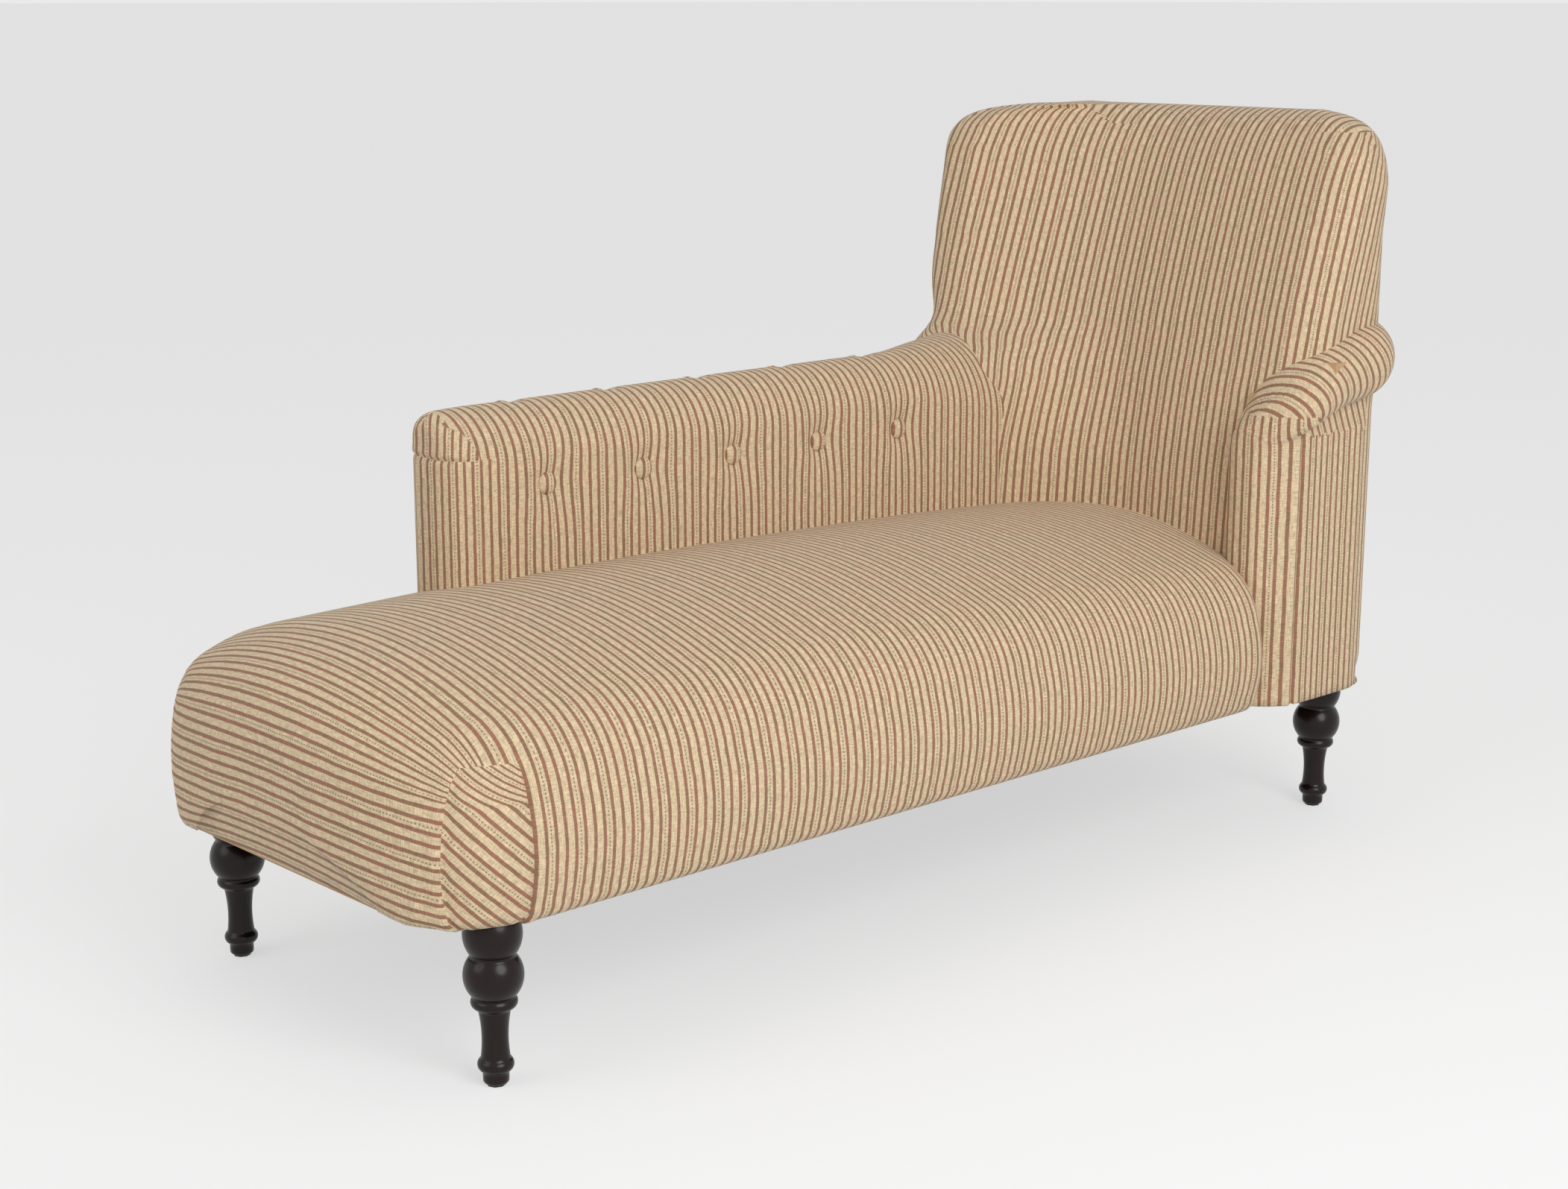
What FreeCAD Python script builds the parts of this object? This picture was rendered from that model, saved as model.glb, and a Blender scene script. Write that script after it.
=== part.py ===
"""A tight-upholstered chaise longue on turned legs, built up as an upholsterer builds it.

Hardwood frame, jute webbing, shaped pads, separate fabric covers, covered buttons, tenoned legs.
Millimetres. +Z is up and +Y points from the foot end to the backrest. The long arm is on the -X
side and the short scroll arm on the +X side. The origin is on the floor under the middle.
"""
import FreeCAD, Part
import math
import os

V = FreeCAD.Vector
os.makedirs("parts", exist_ok=True)

# Whole outline
LENGTH = 1640.0
FOOT_Y = -LENGTH / 2
REAR_Y = LENGTH / 2
MID_X = -20.0            # centre line of the legs; the scroll stands out past it on the +X side
FAR = 2000.0             # longer than anything here, for cutting blocks
ARC_CHORDS = 3           # chords of a quarter round inside the upholstery
HOLLOW_CHORDS = 5        # chords of the long hollow in the back
FACE = 2                 # the faces of the arms have this many times as many

# Legs
LEG_X = 260.5            # leg centres either side of the centre line
LEG_Y = {"foot": -702.0, "rear": 754.0}
LEG_TOP = 196.0
GLIDE_R = 10.5
GLIDE_H = 3.4
TENON_R = 14.0           # turned pin on top of the leg, glued into its block
TENON_TOP = 252.0
FIT = 0.2                # glue line round the pin

# Seat frame
RAIL_T = 24.0
RAIL_TOP = 290.0
RAIL_X = 290.0           # outer faces of the side rails, either side of the centre line
FOOT_RAIL_Y = -790.0
FOOT_RAIL_X = 228.0      # half length of the straight foot rail
BACK_RAIL_Y = 795.0
CORNER_Y = -640.0        # side rails start here, behind the sawn corner blocks
CROSS_RAIL_Y = [-220.0, 250.0]

# Webbing
STRAP_W = 50.0
STRAP_T = 2.0
CROSS_STRAPS = 12
CROSS_STEP = 110.0
CROSS_FIRST = -690.0
LONG_STRAPS = 5
LONG_STEP = 100.0
HESSIAN_T = 1.0
PLATFORM_Z = 296.0       # what the pads stand on

# Cloth and padding
CLOTH = 2.0              # fabric with its lining
GAP = 0.4                # between neighbouring soft pieces
HEM_Z = 188.0
HEM_CUT = 191.0          # covers end here, above the rounded hem

# Seat
SEAT_HALF = 326.0

# Long arm
ARM_IN = -131.0
ARM_ROLL = 66.0          # radius of the rolled top
ARM_TOP = 653.0
ARM_FRONT = -472.0
ARM_BASE = -337.0
ARM_KNEE_Z = 400.0       # the outer face spreads from here down to the rail
ARM_HIP = 20.0           # how far it still stands inside the hem at the rail's top
ARM_END = 512.0
ARM_POST_Y = {"foot": -436.0, "middle": 20.0, "rear": 456.0}
POST_T = 28.0

# Short scroll arm
SCROLL_IN = 193.0
SCROLL_OUT = 302.0
SCROLL_FRONT = 557.0
SCROLL_CREST = 268.0     # outside this line the back ends above the roll

# Back
BACK_LEFT = -336.0
BACK_RIGHT = 302.0
WING_R = 38.0
REAR_R = 78.0
FRONT_R = 62.0
POST_FOOT_Y = 640.0      # front of the back posts, below RAKE_Z
RAKE_Z = 400.0
POST_HEAD_Y = 752.0
POST_TOP = 930.0
CREST_RAIL_H = 50.0

# Buttons on the long arm
BUTTON_Z = 557.0
BUTTON_FIRST = -331.0
BUTTON_STEP = 151.8
BUTTON_COUNT = 5
BUTTON_R = 14.0
BUTTON_H = 7.0
BUTTON_SIDES = 8
TUFT_R = 24.0
TUFT_DEPTH = 5.0
CREST_X = ARM_IN - ARM_ROLL
CREST_LEAN = math.radians(36)   # the crest row sits this far over on the outer side


def export(name, shape):
    """Write one sub-part; a group of like solids stays a compound."""
    shape.exportStep("parts/" + name + ".step")
    print(name, "valid" if shape.isValid() else "NOT VALID", len(shape.Solids), round(shape.Volume / 1000.0, 1))


def box(x0, x1, y0, y1, z0, z1):
    return Part.makeBox(x1 - x0, y1 - y0, z1 - z0, V(x0, y0, z0))


def cylinder(r, z0, z1, x, y):
    return Part.makeCylinder(r, z1 - z0, V(x, y, z0))


def closed_wire(path, fine=1):
    """Join pieces of outline: two points are a line, three an arc. A fourth item says how many
    chords the arc takes, times the fineness, so that soft forms stay light."""
    edges = []
    for piece in path:
        points = [V(*p) for p in piece[:3]]
        if len(points) == 3:
            chords = fine * (piece[3] if len(piece) > 3 else ARC_CHORDS)
            points = Part.Arc(*points).toShape().discretize(chords + 1)
        for a, b in zip(points, points[1:]):
            edges.append(Part.makeLine(a, b))
    return Part.Wire(edges)


def prism(points, direction):
    """Extrude a closed polygon."""
    wire = Part.makePolygon([V(*p) for p in points + points[:1]])
    return Part.Face(wire).extrude(V(*direction))


def side_prism(outline, x0, x1):
    """Extrude a (y, z) outline across the chaise."""
    return prism([(x0, y, z) for y, z in outline], (x1 - x0, 0, 0))


def cross_prism(outline, y0, y1):
    """Extrude an (x, z) outline along the chaise."""
    return prism([(x, y0, z) for x, z in outline], (0, y1 - y0, 0))


def plan_prism(outline, z0, z1):
    """Extrude an (x, y) outline upwards."""
    return prism([(x, y, z0) for x, y in outline], (0, 0, z1 - z0))


def loft(wires):
    return Part.makeLoft(wires, True, True)


def less(shape, *tools):
    for tool in tools:
        shape = shape.cut(tool)
    return shape


def main_piece(shape):
    """The piece itself, without the crumbs where two rounded forms graze each other."""
    return max(shape.Solids, key=lambda solid: solid.Volume)


# Seat: one long crowned bolster, drawn in at the hem, with a bowed foot end

# distance from the foot face, half width, hem height, crown height
SEAT_STATIONS = [
    (0, 100, 262, 350), (12, 183, 237, 387), (34, 253, 208, 413), (78, 305, 192, 435),
    (158, SEAT_HALF, HEM_Z, 451), (551, SEAT_HALF, HEM_Z, 457), (1000, SEAT_HALF, HEM_Z, 448),
    (1345, SEAT_HALF, HEM_Z, 431), (1385, 296, HEM_Z, 428), (1430, 240, HEM_Z, 424)]


def seat_section(y, half, low, crown, inset, fine):
    """One slice across the seat: flat hem, bulging sides, rolled shoulders, long crown."""
    w = half - inset
    z0 = low + inset
    z1 = crown - inset
    h = z1 - z0
    hem = (0.90 * w, z0)
    tuck = (0.95 * w, z0 + 0.030 * h)
    side = (0.975 * w, z0 + 0.10 * h)
    belly = (w, z0 + 0.30 * h)
    waist = (0.972 * w, z0 + 0.54 * h)
    roll = (0.915 * w, z0 + 0.70 * h)
    shoulder = (0.74 * w, z0 + 0.845 * h)

    def at(p, sign):
        return (MID_X + sign * p[0], y, p[1])

    up = [(hem, tuck, side, 2), (side, belly, waist, 2), (waist, roll, shoulder, 4)]
    path = [(at(hem, -1), at(hem, 1))]
    for a, m, b, chords in up:
        path.append((at(a, 1), at(m, 1), at(b, 1), chords))
    path.append((at(shoulder, 1), (MID_X, y, z1), at(shoulder, -1), 6))
    for a, m, b, chords in reversed(up):
        path.append((at(b, -1), at(m, -1), at(a, -1), chords))
    return closed_wire(path, fine)


def seat_form(inset, fine=1):
    wires = []
    for d, half, low, crown in SEAT_STATIONS:
        wires.append(seat_section(FOOT_Y + max(d, inset), half, low, crown, inset, fine))
    return loft(wires)


# Long arm: a round-topped wall with a bullnose foot end, spreading where it joins the back

# distance from the foot face of the arm, how far the inner and outer faces and the top draw in
ARM_NOSE = [(0, 36, 50, 16), (7, 17, 36, 6), (24, 4, 18, 1), (66, 0, 0, 0)]
# y, outer face, crest line, top height, towards the back
ARM_TAIL = [(283, -263, -197, 653), (420, -318, -220, 660), (ARM_END, -335, -256, 664)]


def arm_section(y, inner, outer, mid, top, base, inset, fine):
    """Inner face, two quarter rounds over the top, upright outer face that spreads to the rail."""
    xi = inner - inset
    xo = outer + inset
    zt = top - inset
    ri = xi - mid
    ro = mid - xo
    c = math.sqrt(0.5)
    low = HEM_Z + inset
    a = (xi, y, low)
    b = (xi, y, zt - ri)
    m1 = (mid + c * ri, y, zt - ri + c * ri)
    t = (mid, y, zt)
    m2 = (mid - c * ro, y, zt - ro + c * ro)
    d = (xo, y, zt - ro)
    k = (xo, y, ARM_KNEE_Z)
    h = (min(xo, base + ARM_HIP + inset), y, PLATFORM_Z)
    e = (base + inset, y, low)
    return closed_wire([(a, b), (b, m1, t), (t, m2, d), (d, k), (k, h), (h, e), (e, a)], fine)


def arm_form(inset, fine=1):
    wires = []
    for d, din, dout, dtop in ARM_NOSE:
        wires.append(arm_section(ARM_FRONT + max(d, inset), ARM_IN - din, CREST_X - ARM_ROLL + dout,
                                 CREST_X, ARM_TOP - dtop, ARM_BASE + dout, inset, fine))
    for y, out, crest, top in ARM_TAIL:
        wires.append(arm_section(y, ARM_IN, out, crest, top, ARM_BASE, inset, fine))
    return loft(wires)


# Short arm: a bullnose front, and a roll that overhangs the outside and swoops down to the front

# distance behind the front, inner face, outer face, crest line, top height, roll radius, and how
# far the inner shoulder drops: it is round in front and flatter where the back comes down on it
SCROLL_STATIONS = [
    (0, 231, 259, 246, 566, 15, 15), (5, 217, 268, 253, 583, 21, 45), (15, 206, 279, 264, 600, 27, 74),
    (32, 198, 293, 279, 620, 33, 92), (62, SCROLL_IN, SCROLL_OUT, 290, 651, 41, 76),
    (120, SCROLL_IN, SCROLL_OUT, 291, 682, 46, 46), (176, SCROLL_IN, SCROLL_OUT, 292, 700, 50, 26),
    (215, SCROLL_IN, 290, 280, 703, 48, 16), (263, SCROLL_IN, 236, 228, 705, 42, 8)]


def scroll_section(y, inner, outer, mid, top, roll, drop, inset, fine):
    """Inner face, shoulder, overhanging roll, outer face."""
    xi = inner + inset
    xo = outer - inset
    zt = top - inset
    r = roll - inset
    zc = top - roll
    c = math.sqrt(0.5)
    low = HEM_Z + inset
    swing = math.asin(min((xo - mid) / r, 1.0))
    half = 0.5 * (swing + math.pi / 2)
    a = (xi, y, low)
    b = (xi, y, zt - drop)
    m1 = (mid - c * (mid - xi), y, zt - drop + c * drop)
    t = (mid, y, zt)
    m2 = (mid + c * r, y, zc + c * r)
    o = (mid + r, y, zc)
    m3 = (mid + r * math.sin(half), y, zc - r * math.cos(half))
    u = (xo, y, zc - r * math.cos(swing))
    e = (xo, y, low)
    return closed_wire([(a, b), (b, m1, t, 4), (t, m2, o), (o, m3, u), (u, e), (e, a)], fine)


def scroll_form(inset, fine=1):
    wires = []
    for d, inner, outer, mid, top, roll, drop in SCROLL_STATIONS:
        y = SCROLL_FRONT + max(d, inset)
        y = min(y, REAR_Y - inset)
        wires.append(scroll_section(y, inner, outer, mid, top, roll, drop, inset, fine))
    return loft(wires)


# Back: leans back, with a wing that comes forward over the long arm and a soft crested top

# height, front of the middle, where the hollow starts, where it ends, front of the wing
BACK_STATIONS = [
    (HEM_Z, 572, 40, -133, 468), (484, 589, 32, -133, 463), (612, 609, -6, -140, 438),
    (645, 617, -10, -168, 446), (676, 624, -14, -232, 498), (720, 634, -20, -246, 512),
    (880, 683, -33, -270, 547)]
# height, front of the middle, wing front, rear face, left side, right side
CREST_STATIONS = [
    (935, 707, 560, 818, -336, 288), (963, 727, 580, 812, -325, 264),
    (979, 750, 616, 804, -298, 226), (986, 772, 670, 794, -248, 180)]


def back_section(z, yf, x_flat, x_wing, y_wing, rear, left, right, inset, fine):
    """Plan slice: flat rear, rounded corners, flat front, hollow, and the wing's round tip."""
    depth = rear - yf
    size = min(1.0, depth / 175)
    yr = rear - inset
    xl = left + inset
    xr = right - inset
    y0 = yf + inset
    y1 = y_wing + inset
    rr = min(REAR_R, 0.50 * depth) - inset
    rf = min(FRONT_R, 0.40 * depth) - inset
    rt = WING_R * size - inset
    c = 1 - math.sqrt(0.5)
    p1 = (x_wing + 0.4 * inset, y1 + 8 * size, z)
    dx = x_flat - p1[0]
    dy = y0 - p1[1]
    big = (dx * dx + dy * dy) / (2 * dy)
    half = 0.5 * math.asin(dx / big)
    mid = (x_flat - big * math.sin(half), y0 - big * (1 - math.cos(half)), z)
    path = [
        ((xl + rr, yr, z), (xr - rr, yr, z)),
        ((xr - rr, yr, z), (xr - c * rr, yr - c * rr, z), (xr, yr - rr, z)),
        ((xr, yr - rr, z), (xr, y0 + rf, z)),
        ((xr, y0 + rf, z), (xr - c * rf, y0 + c * rf, z), (xr - rf, y0, z)),
        ((xr - rf, y0, z), (x_flat, y0, z)),
        ((x_flat, y0, z), mid, p1, HOLLOW_CHORDS),
        (p1, (xl + rt, y1, z)),
        ((xl + rt, y1, z), (xl + c * rt, y1 + c * rt, z), (xl, y1 + rt, z), 4),
        ((xl, y1 + rt, z), (xl, yr - rr, z)),
        ((xl, yr - rr, z), (xl + c * rr, yr - c * rr, z), (xl + rr, yr, z))]
    return closed_wire(path, fine)


def back_form(inset, fine=1):
    wires = []
    for z, yf, x_flat, x_wing, y_wing in BACK_STATIONS:
        wires.append(back_section(max(z, HEM_Z + inset), yf, x_flat, x_wing, y_wing, REAR_Y,
                                  BACK_LEFT, BACK_RIGHT, inset, fine))
    top = CREST_STATIONS[-1][0]
    for z, yf, y_wing, rear, left, right in CREST_STATIONS:
        wires.append(back_section(min(z, top - inset), yf, -24, left + 66, y_wing, rear,
                                  left, right, inset, fine))
    return loft(wires)


def seat_taken():
    """What the arms and back take from the seat, and the strip outside the long arm."""
    beside = box(-FAR, ARM_IN - GAP, ARM_FRONT + 40, FAR, 0, FAR)
    return [beside, arm_form(-GAP, FACE), scroll_form(-GAP, FACE), back_form(-GAP)]


def back_taken():
    """What the scroll arm takes from the back: the roll's own room, and all outside its crest line."""
    first = SCROLL_STATIONS[4][0]
    line = [(SCROLL_FRONT + s[0], s[4] + 2 * GAP) for s in SCROLL_STATIONS if s[0] >= first]
    outline = [(0, 0), (0, line[0][1])] + line + [(FAR, line[-1][1]), (FAR, 0)]
    return [scroll_form(-GAP, FACE), side_prism(outline, SCROLL_CREST, FAR)]


# Spaces kept free for the frame

def rake(z):
    """Front of the back posts at a height."""
    return POST_FOOT_Y + (POST_HEAD_Y - POST_FOOT_Y) * (z - RAKE_Z) / (POST_TOP - RAKE_Z)


def seat_space(grow, top):
    """Everything inside the outer faces of the seat rails, below a height."""
    x = RAIL_X + grow
    foot = FOOT_RAIL_Y - grow
    turn = CORNER_Y - 50
    outline = [(MID_X - FOOT_RAIL_X, foot), (MID_X + FOOT_RAIL_X, foot), (MID_X + x, turn),
               (MID_X + x, BACK_RAIL_Y + grow), (MID_X - x, BACK_RAIL_Y + grow), (MID_X - x, turn)]
    return plan_prism(outline, 0, top)


def behind_rake(x0, x1):
    """Everything behind the back webbing and under the crest."""
    web = 2 * STRAP_T + HESSIAN_T + GAP
    outline = [(POST_FOOT_Y - web, 0), (POST_FOOT_Y - web, RAKE_Z), (POST_HEAD_Y - web, POST_TOP + 4),
               (FAR, POST_TOP + 4), (FAR, 0)]
    return side_prism(outline, x0, x1)


def back_space():
    return behind_rake(MID_X - RAIL_X - GAP, MID_X + RAIL_X + GAP)


def arm_hollow():
    """The inside of the long arm, open to the outside panel."""
    outline = [(-FAR, 0), (-FAR, 588), (-250, 588), (-232, 626), (-178, 634), (-156, 604), (-156, 0)]
    return cross_prism(outline, ARM_FRONT + 32, FAR)


def above(z):
    return box(-FAR, FAR, -FAR, FAR, z, FAR)


def rings(levels, sides, centre, direction):
    """Closed form through regular polygons: each level is (distance out, radius)."""
    wires = []
    for out, r in levels:
        turns = [2 * math.pi * i / sides for i in range(sides)]
        points = [V(r * math.cos(t), r * math.sin(t), out) for t in turns]
        wires.append(Part.makePolygon(points + points[:1]))
    form = loft(wires)
    form.Placement = FreeCAD.Placement(V(*centre), FreeCAD.Rotation(V(0, 0, 1), V(*direction)))
    return form


def tufts(inset):
    """The hollows that the buttons press into the inside of the long arm."""
    levels = [(-TUFT_DEPTH - inset, 6), (1, TUFT_R)]
    hollows = []
    for i in range(BUTTON_COUNT):
        centre = (ARM_IN, BUTTON_FIRST + i * BUTTON_STEP, BUTTON_Z)
        hollows.append(rings(levels, 8, centre, (1, 0, 0)))
    return hollows


# Frame

def side_rail(sign):
    x0 = MID_X + sign * (RAIL_X - RAIL_T)
    x1 = MID_X + sign * RAIL_X
    return box(min(x0, x1), max(x0, x1), CORNER_Y, BACK_RAIL_Y - RAIL_T, LEG_TOP, RAIL_TOP)


def foot_corner_block(sign):
    """Sawn block that turns the corner and takes the leg's tenon."""
    half = [(FOOT_RAIL_X, FOOT_RAIL_Y), (RAIL_X, CORNER_Y - 50), (RAIL_X, CORNER_Y), (200, CORNER_Y),
            (170, CORNER_Y - 30), (170, FOOT_RAIL_Y + RAIL_T), (FOOT_RAIL_X, FOOT_RAIL_Y + RAIL_T)]
    block = plan_prism([(MID_X + sign * x, y) for x, y in half], LEG_TOP, RAIL_TOP)
    return block.cut(tenon_hole(sign, "foot"))


def rear_corner_block(sign):
    rear = BACK_RAIL_Y - RAIL_T
    side = RAIL_X - RAIL_T
    half = [(side, rear), (side, rear - 96), (side - 24, rear - 96), (side - 96, rear - 24), (side - 96, rear)]
    block = plan_prism([(MID_X + sign * x, y) for x, y in half], LEG_TOP, RAIL_TOP)
    return block.cut(tenon_hole(sign, "rear"))


def tenon_hole(sign, end):
    return cylinder(TENON_R + FIT, 0, TENON_TOP + FIT, MID_X + sign * LEG_X, LEG_Y[end])


def back_post(sign):
    outline = [(POST_FOOT_Y, RAIL_TOP), (BACK_RAIL_Y, RAIL_TOP), (BACK_RAIL_Y, POST_TOP),
               (POST_HEAD_Y, POST_TOP), (POST_FOOT_Y, RAKE_Z)]
    x0 = MID_X + sign * (RAIL_X - 32)
    x1 = MID_X + sign * RAIL_X
    return side_prism(outline, min(x0, x1), max(x0, x1))


def raked_board(z0, z1, thick, x0, x1):
    """A board that lies against the webbing line of the back."""
    outline = [(rake(z0), z0), (rake(z1), z1), (rake(z1) + thick, z1), (rake(z0) + thick, z0)]
    return side_prism(outline, x0, x1)


def arm_post(end):
    """Sawn upright whose outer edge follows the outside panel."""
    y = ARM_POST_Y[end]
    outline = [(-309, RAIL_TOP), (-262, RAIL_TOP), (-238, 330), (-176, 600), (-251, 600), (-252, 580),
               (-257, ARM_KNEE_Z)]
    return cross_prism(outline, y, y + POST_T)


def frame():
    inner = RAIL_X - RAIL_T
    post_in = RAIL_X - 32
    x0 = MID_X - post_in
    x1 = MID_X + post_in
    export("seat_rail_left", side_rail(-1))
    export("seat_rail_right", side_rail(1))
    export("seat_rail_foot", box(MID_X - FOOT_RAIL_X, MID_X + FOOT_RAIL_X, FOOT_RAIL_Y,
                                 FOOT_RAIL_Y + RAIL_T, LEG_TOP, RAIL_TOP))
    export("seat_rail_back", box(MID_X - RAIL_X, MID_X + RAIL_X, BACK_RAIL_Y - RAIL_T, BACK_RAIL_Y,
                                 LEG_TOP, RAIL_TOP))
    for name, y in zip(("front", "rear"), CROSS_RAIL_Y):
        export("cross_rail_" + name, box(MID_X - inner, MID_X + inner, y, y + 30, LEG_TOP + 14, RAIL_TOP - 20))
    for side, sign in (("left", -1), ("right", 1)):
        export("corner_block_foot_" + side, foot_corner_block(sign))
        export("corner_block_rear_" + side, rear_corner_block(sign))
        export("back_post_" + side, back_post(sign))
    crest = box(x0, x1, POST_HEAD_Y, BACK_RAIL_Y, POST_TOP - CREST_RAIL_H, POST_TOP)
    export("back_crest_rail", crest)
    export("back_tacking_rail", box(x0, x1, POST_FOOT_Y, POST_FOOT_Y + 26, 330, RAKE_Z))
    slat = box(MID_X - 30, MID_X + 30, BACK_RAIL_Y - 22, BACK_RAIL_Y, RAIL_TOP, POST_TOP - CREST_RAIL_H)
    export("back_middle_slat", slat)
    for end in ARM_POST_Y:
        export("long_arm_post_" + end, arm_post(end))
    start = ARM_POST_Y["foot"]
    stop = ARM_POST_Y["rear"] + POST_T
    export("long_arm_top_rail", box(-230, -180, start, stop, 600, 622))
    tack = []
    for a, b in (("foot", "middle"), ("middle", "rear")):
        tack.append(box(-254, -228, ARM_POST_Y[a] + POST_T, ARM_POST_Y[b], 352, 392))
    export("long_arm_tacking_rails", Part.makeCompound(tack))
    post = box(214, 270, 602, 602 + POST_T, RAIL_TOP, 612)
    export("short_arm_post", post)
    export("short_arm_roll_rail", box(270, 326, 640, 758, 632, 660))


# Legs

def leg_profile():
    """Outline of the turned leg: foot, ring, waisted column, collar, ball, bun and tenon."""
    def p(r, z):
        return (r, 0, z)

    path = [
        (p(0, GLIDE_H), p(14, GLIDE_H)),
        (p(14, GLIDE_H), p(14, 16)),
        (p(14, 16), p(20, 23.5), p(16.2, 31), 2),
        (p(16.2, 31), p(14.6, 58), p(18.2, 88), 2),
        (p(18.2, 88), p(25.5, 94), p(22.8, 101), 2),
        (p(22.8, 101), p(33, 124.5), p(24.2, 148), 4),
        (p(24.2, 148), p(32.2, 168), p(24, LEG_TOP), 3),
        (p(24, LEG_TOP), p(TENON_R, LEG_TOP)),
        (p(TENON_R, LEG_TOP), p(TENON_R, TENON_TOP)),
        (p(TENON_R, TENON_TOP), p(0, TENON_TOP)),
        (p(0, TENON_TOP), p(0, GLIDE_H))]
    return closed_wire(path)


def leg(sign, end):
    turned = Part.Face(leg_profile()).revolve(V(0, 0, 0), V(0, 0, 1), 360)
    turned.translate(V(MID_X + sign * LEG_X, LEG_Y[end], 0))
    return turned


def legs():
    glides = []
    for end in ("foot", "rear"):
        for side, sign in (("left", -1), ("right", 1)):
            export("leg_" + end + "_" + side, leg(sign, end))
            centre = (MID_X + sign * LEG_X, LEG_Y[end], 0)
            glides.append(rings([(0, GLIDE_R), (GLIDE_H, GLIDE_R)], 8, centre, (0, 0, 1)))
    export("leg_glides", Part.makeCompound(glides))


# Webbing and platform cloths

def webbing():
    cross = []
    for i in range(CROSS_STRAPS):
        y = CROSS_FIRST + i * CROSS_STEP
        cross.append(box(MID_X - 278, MID_X + 278, y - STRAP_W / 2, y + STRAP_W / 2, RAIL_TOP, RAIL_TOP + STRAP_T))
    export("seat_webbing_crosswise", Part.makeCompound(cross))
    along = []
    for i in range(LONG_STRAPS):
        x = MID_X + (i - (LONG_STRAPS - 1) / 2) * LONG_STEP
        along.append(box(x - STRAP_W / 2, x + STRAP_W / 2, -780, 586, RAIL_TOP + STRAP_T, RAIL_TOP + 2 * STRAP_T))
    export("seat_webbing_lengthwise", Part.makeCompound(along))
    z = RAIL_TOP + 2 * STRAP_T
    export("seat_hessian", box(MID_X - 228, MID_X + 228, -782, 588, z, z + HESSIAN_T))
    x0 = MID_X - RAIL_X + 14
    x1 = MID_X + RAIL_X - 14
    rows = [raked_board(z, z + STRAP_W, -STRAP_T, x0, x1) for z in (430, 560, 690, 820)]
    export("back_webbing_crosswise", Part.makeCompound(rows))
    columns = []
    for i in range(LONG_STRAPS):
        x = MID_X + (i - (LONG_STRAPS - 1) / 2) * LONG_STEP
        board = raked_board(RAKE_Z, POST_TOP - 6, -STRAP_T, x - STRAP_W / 2, x + STRAP_W / 2)
        board.translate(V(0, -STRAP_T, 0))
        columns.append(board)
    export("back_webbing_upright", Part.makeCompound(columns))
    sheet = raked_board(RAKE_Z, POST_TOP - 4, -HESSIAN_T, x0, x1)
    sheet.translate(V(0, -2 * STRAP_T, 0))
    export("back_hessian", sheet)


def dust_cover():
    """Thin cloth under the rails, notched round the legs."""
    x = RAIL_X - 3
    n = LEG_X - 30
    foot = FOOT_RAIL_Y + 3
    rear = BACK_RAIL_Y - 3
    foot_notch = LEG_Y["foot"] + 30
    rear_notch = LEG_Y["rear"] - 30
    outline = [(-n, foot), (n, foot), (n, foot_notch), (x, foot_notch), (x, rear_notch), (n, rear_notch),
               (n, rear), (-n, rear), (-n, rear_notch), (-x, rear_notch), (-x, foot_notch), (-n, foot_notch)]
    export("dust_cover", plan_prism([(MID_X + a, b) for a, b in outline], LEG_TOP - 1.6, LEG_TOP - 0.4))


# Pads

def pads():
    inset = CLOTH + GAP
    rails = seat_space(GAP, PLATFORM_Z)
    seat = less(seat_form(inset), *seat_taken())
    export("seat_pad", seat.common(above(PLATFORM_Z)))
    border = less(seat.common(box(-FAR, FAR, -FAR, FAR, HEM_CUT, PLATFORM_Z - GAP)), rails)
    left = MID_X - FOOT_RAIL_X
    right = MID_X + FOOT_RAIL_X
    export("seat_border_pad_left", border.common(box(-FAR, left - GAP, -FAR, FAR, 0, FAR)))
    export("seat_border_pad_foot", border.common(box(left, right, -FAR, FOOT_RAIL_Y, 0, FAR)))
    export("seat_border_pad_right", border.common(box(right + GAP, FAR, -FAR, FAR, 0, FAR)))
    hem = above(HEM_CUT)
    padding = less(arm_form(inset).common(hem), arm_hollow(), rails, back_form(-GAP), *tufts(inset))
    export("long_arm_pad", main_piece(padding))
    behind = back_space()
    core = box(213, 271, 601, 641, 0, 613)
    roll_rail = box(269, 327, 639, 759, 631, 661)
    padding = less(scroll_form(inset).common(hem), behind, rails, core, roll_rail)
    export("short_arm_pad", padding)
    whole = less(back_form(inset).common(hem), rails, *back_taken())
    front = whole.cut(behind_rake(-FAR, FAR))
    wing_x = -205
    export("back_wing_pad", front.common(box(-FAR, wing_x, -FAR, FAR, 0, FAR)))
    export("back_pad", front.common(box(wing_x + GAP, FAR, -FAR, FAR, 0, FAR)))
    sides = whole.common(behind_rake(-FAR, FAR))
    edge = RAIL_X + GAP
    export("back_side_pad_left", sides.common(box(-FAR, MID_X - edge, -FAR, FAR, 0, POST_TOP)))
    export("back_side_pad_right", sides.common(box(MID_X + edge, FAR, -FAR, FAR, 0, POST_TOP)))
    rear = box(MID_X - RAIL_X, MID_X + RAIL_X, BACK_RAIL_Y + GAP, FAR, 0, POST_TOP)
    export("back_outside_wadding", sides.common(rear))


# Covers

def skin(form, fine=1):
    """A cover as thick as the cloth, open below the hem."""
    return form(0, fine).cut(form(CLOTH)).common(above(HEM_CUT))


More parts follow.
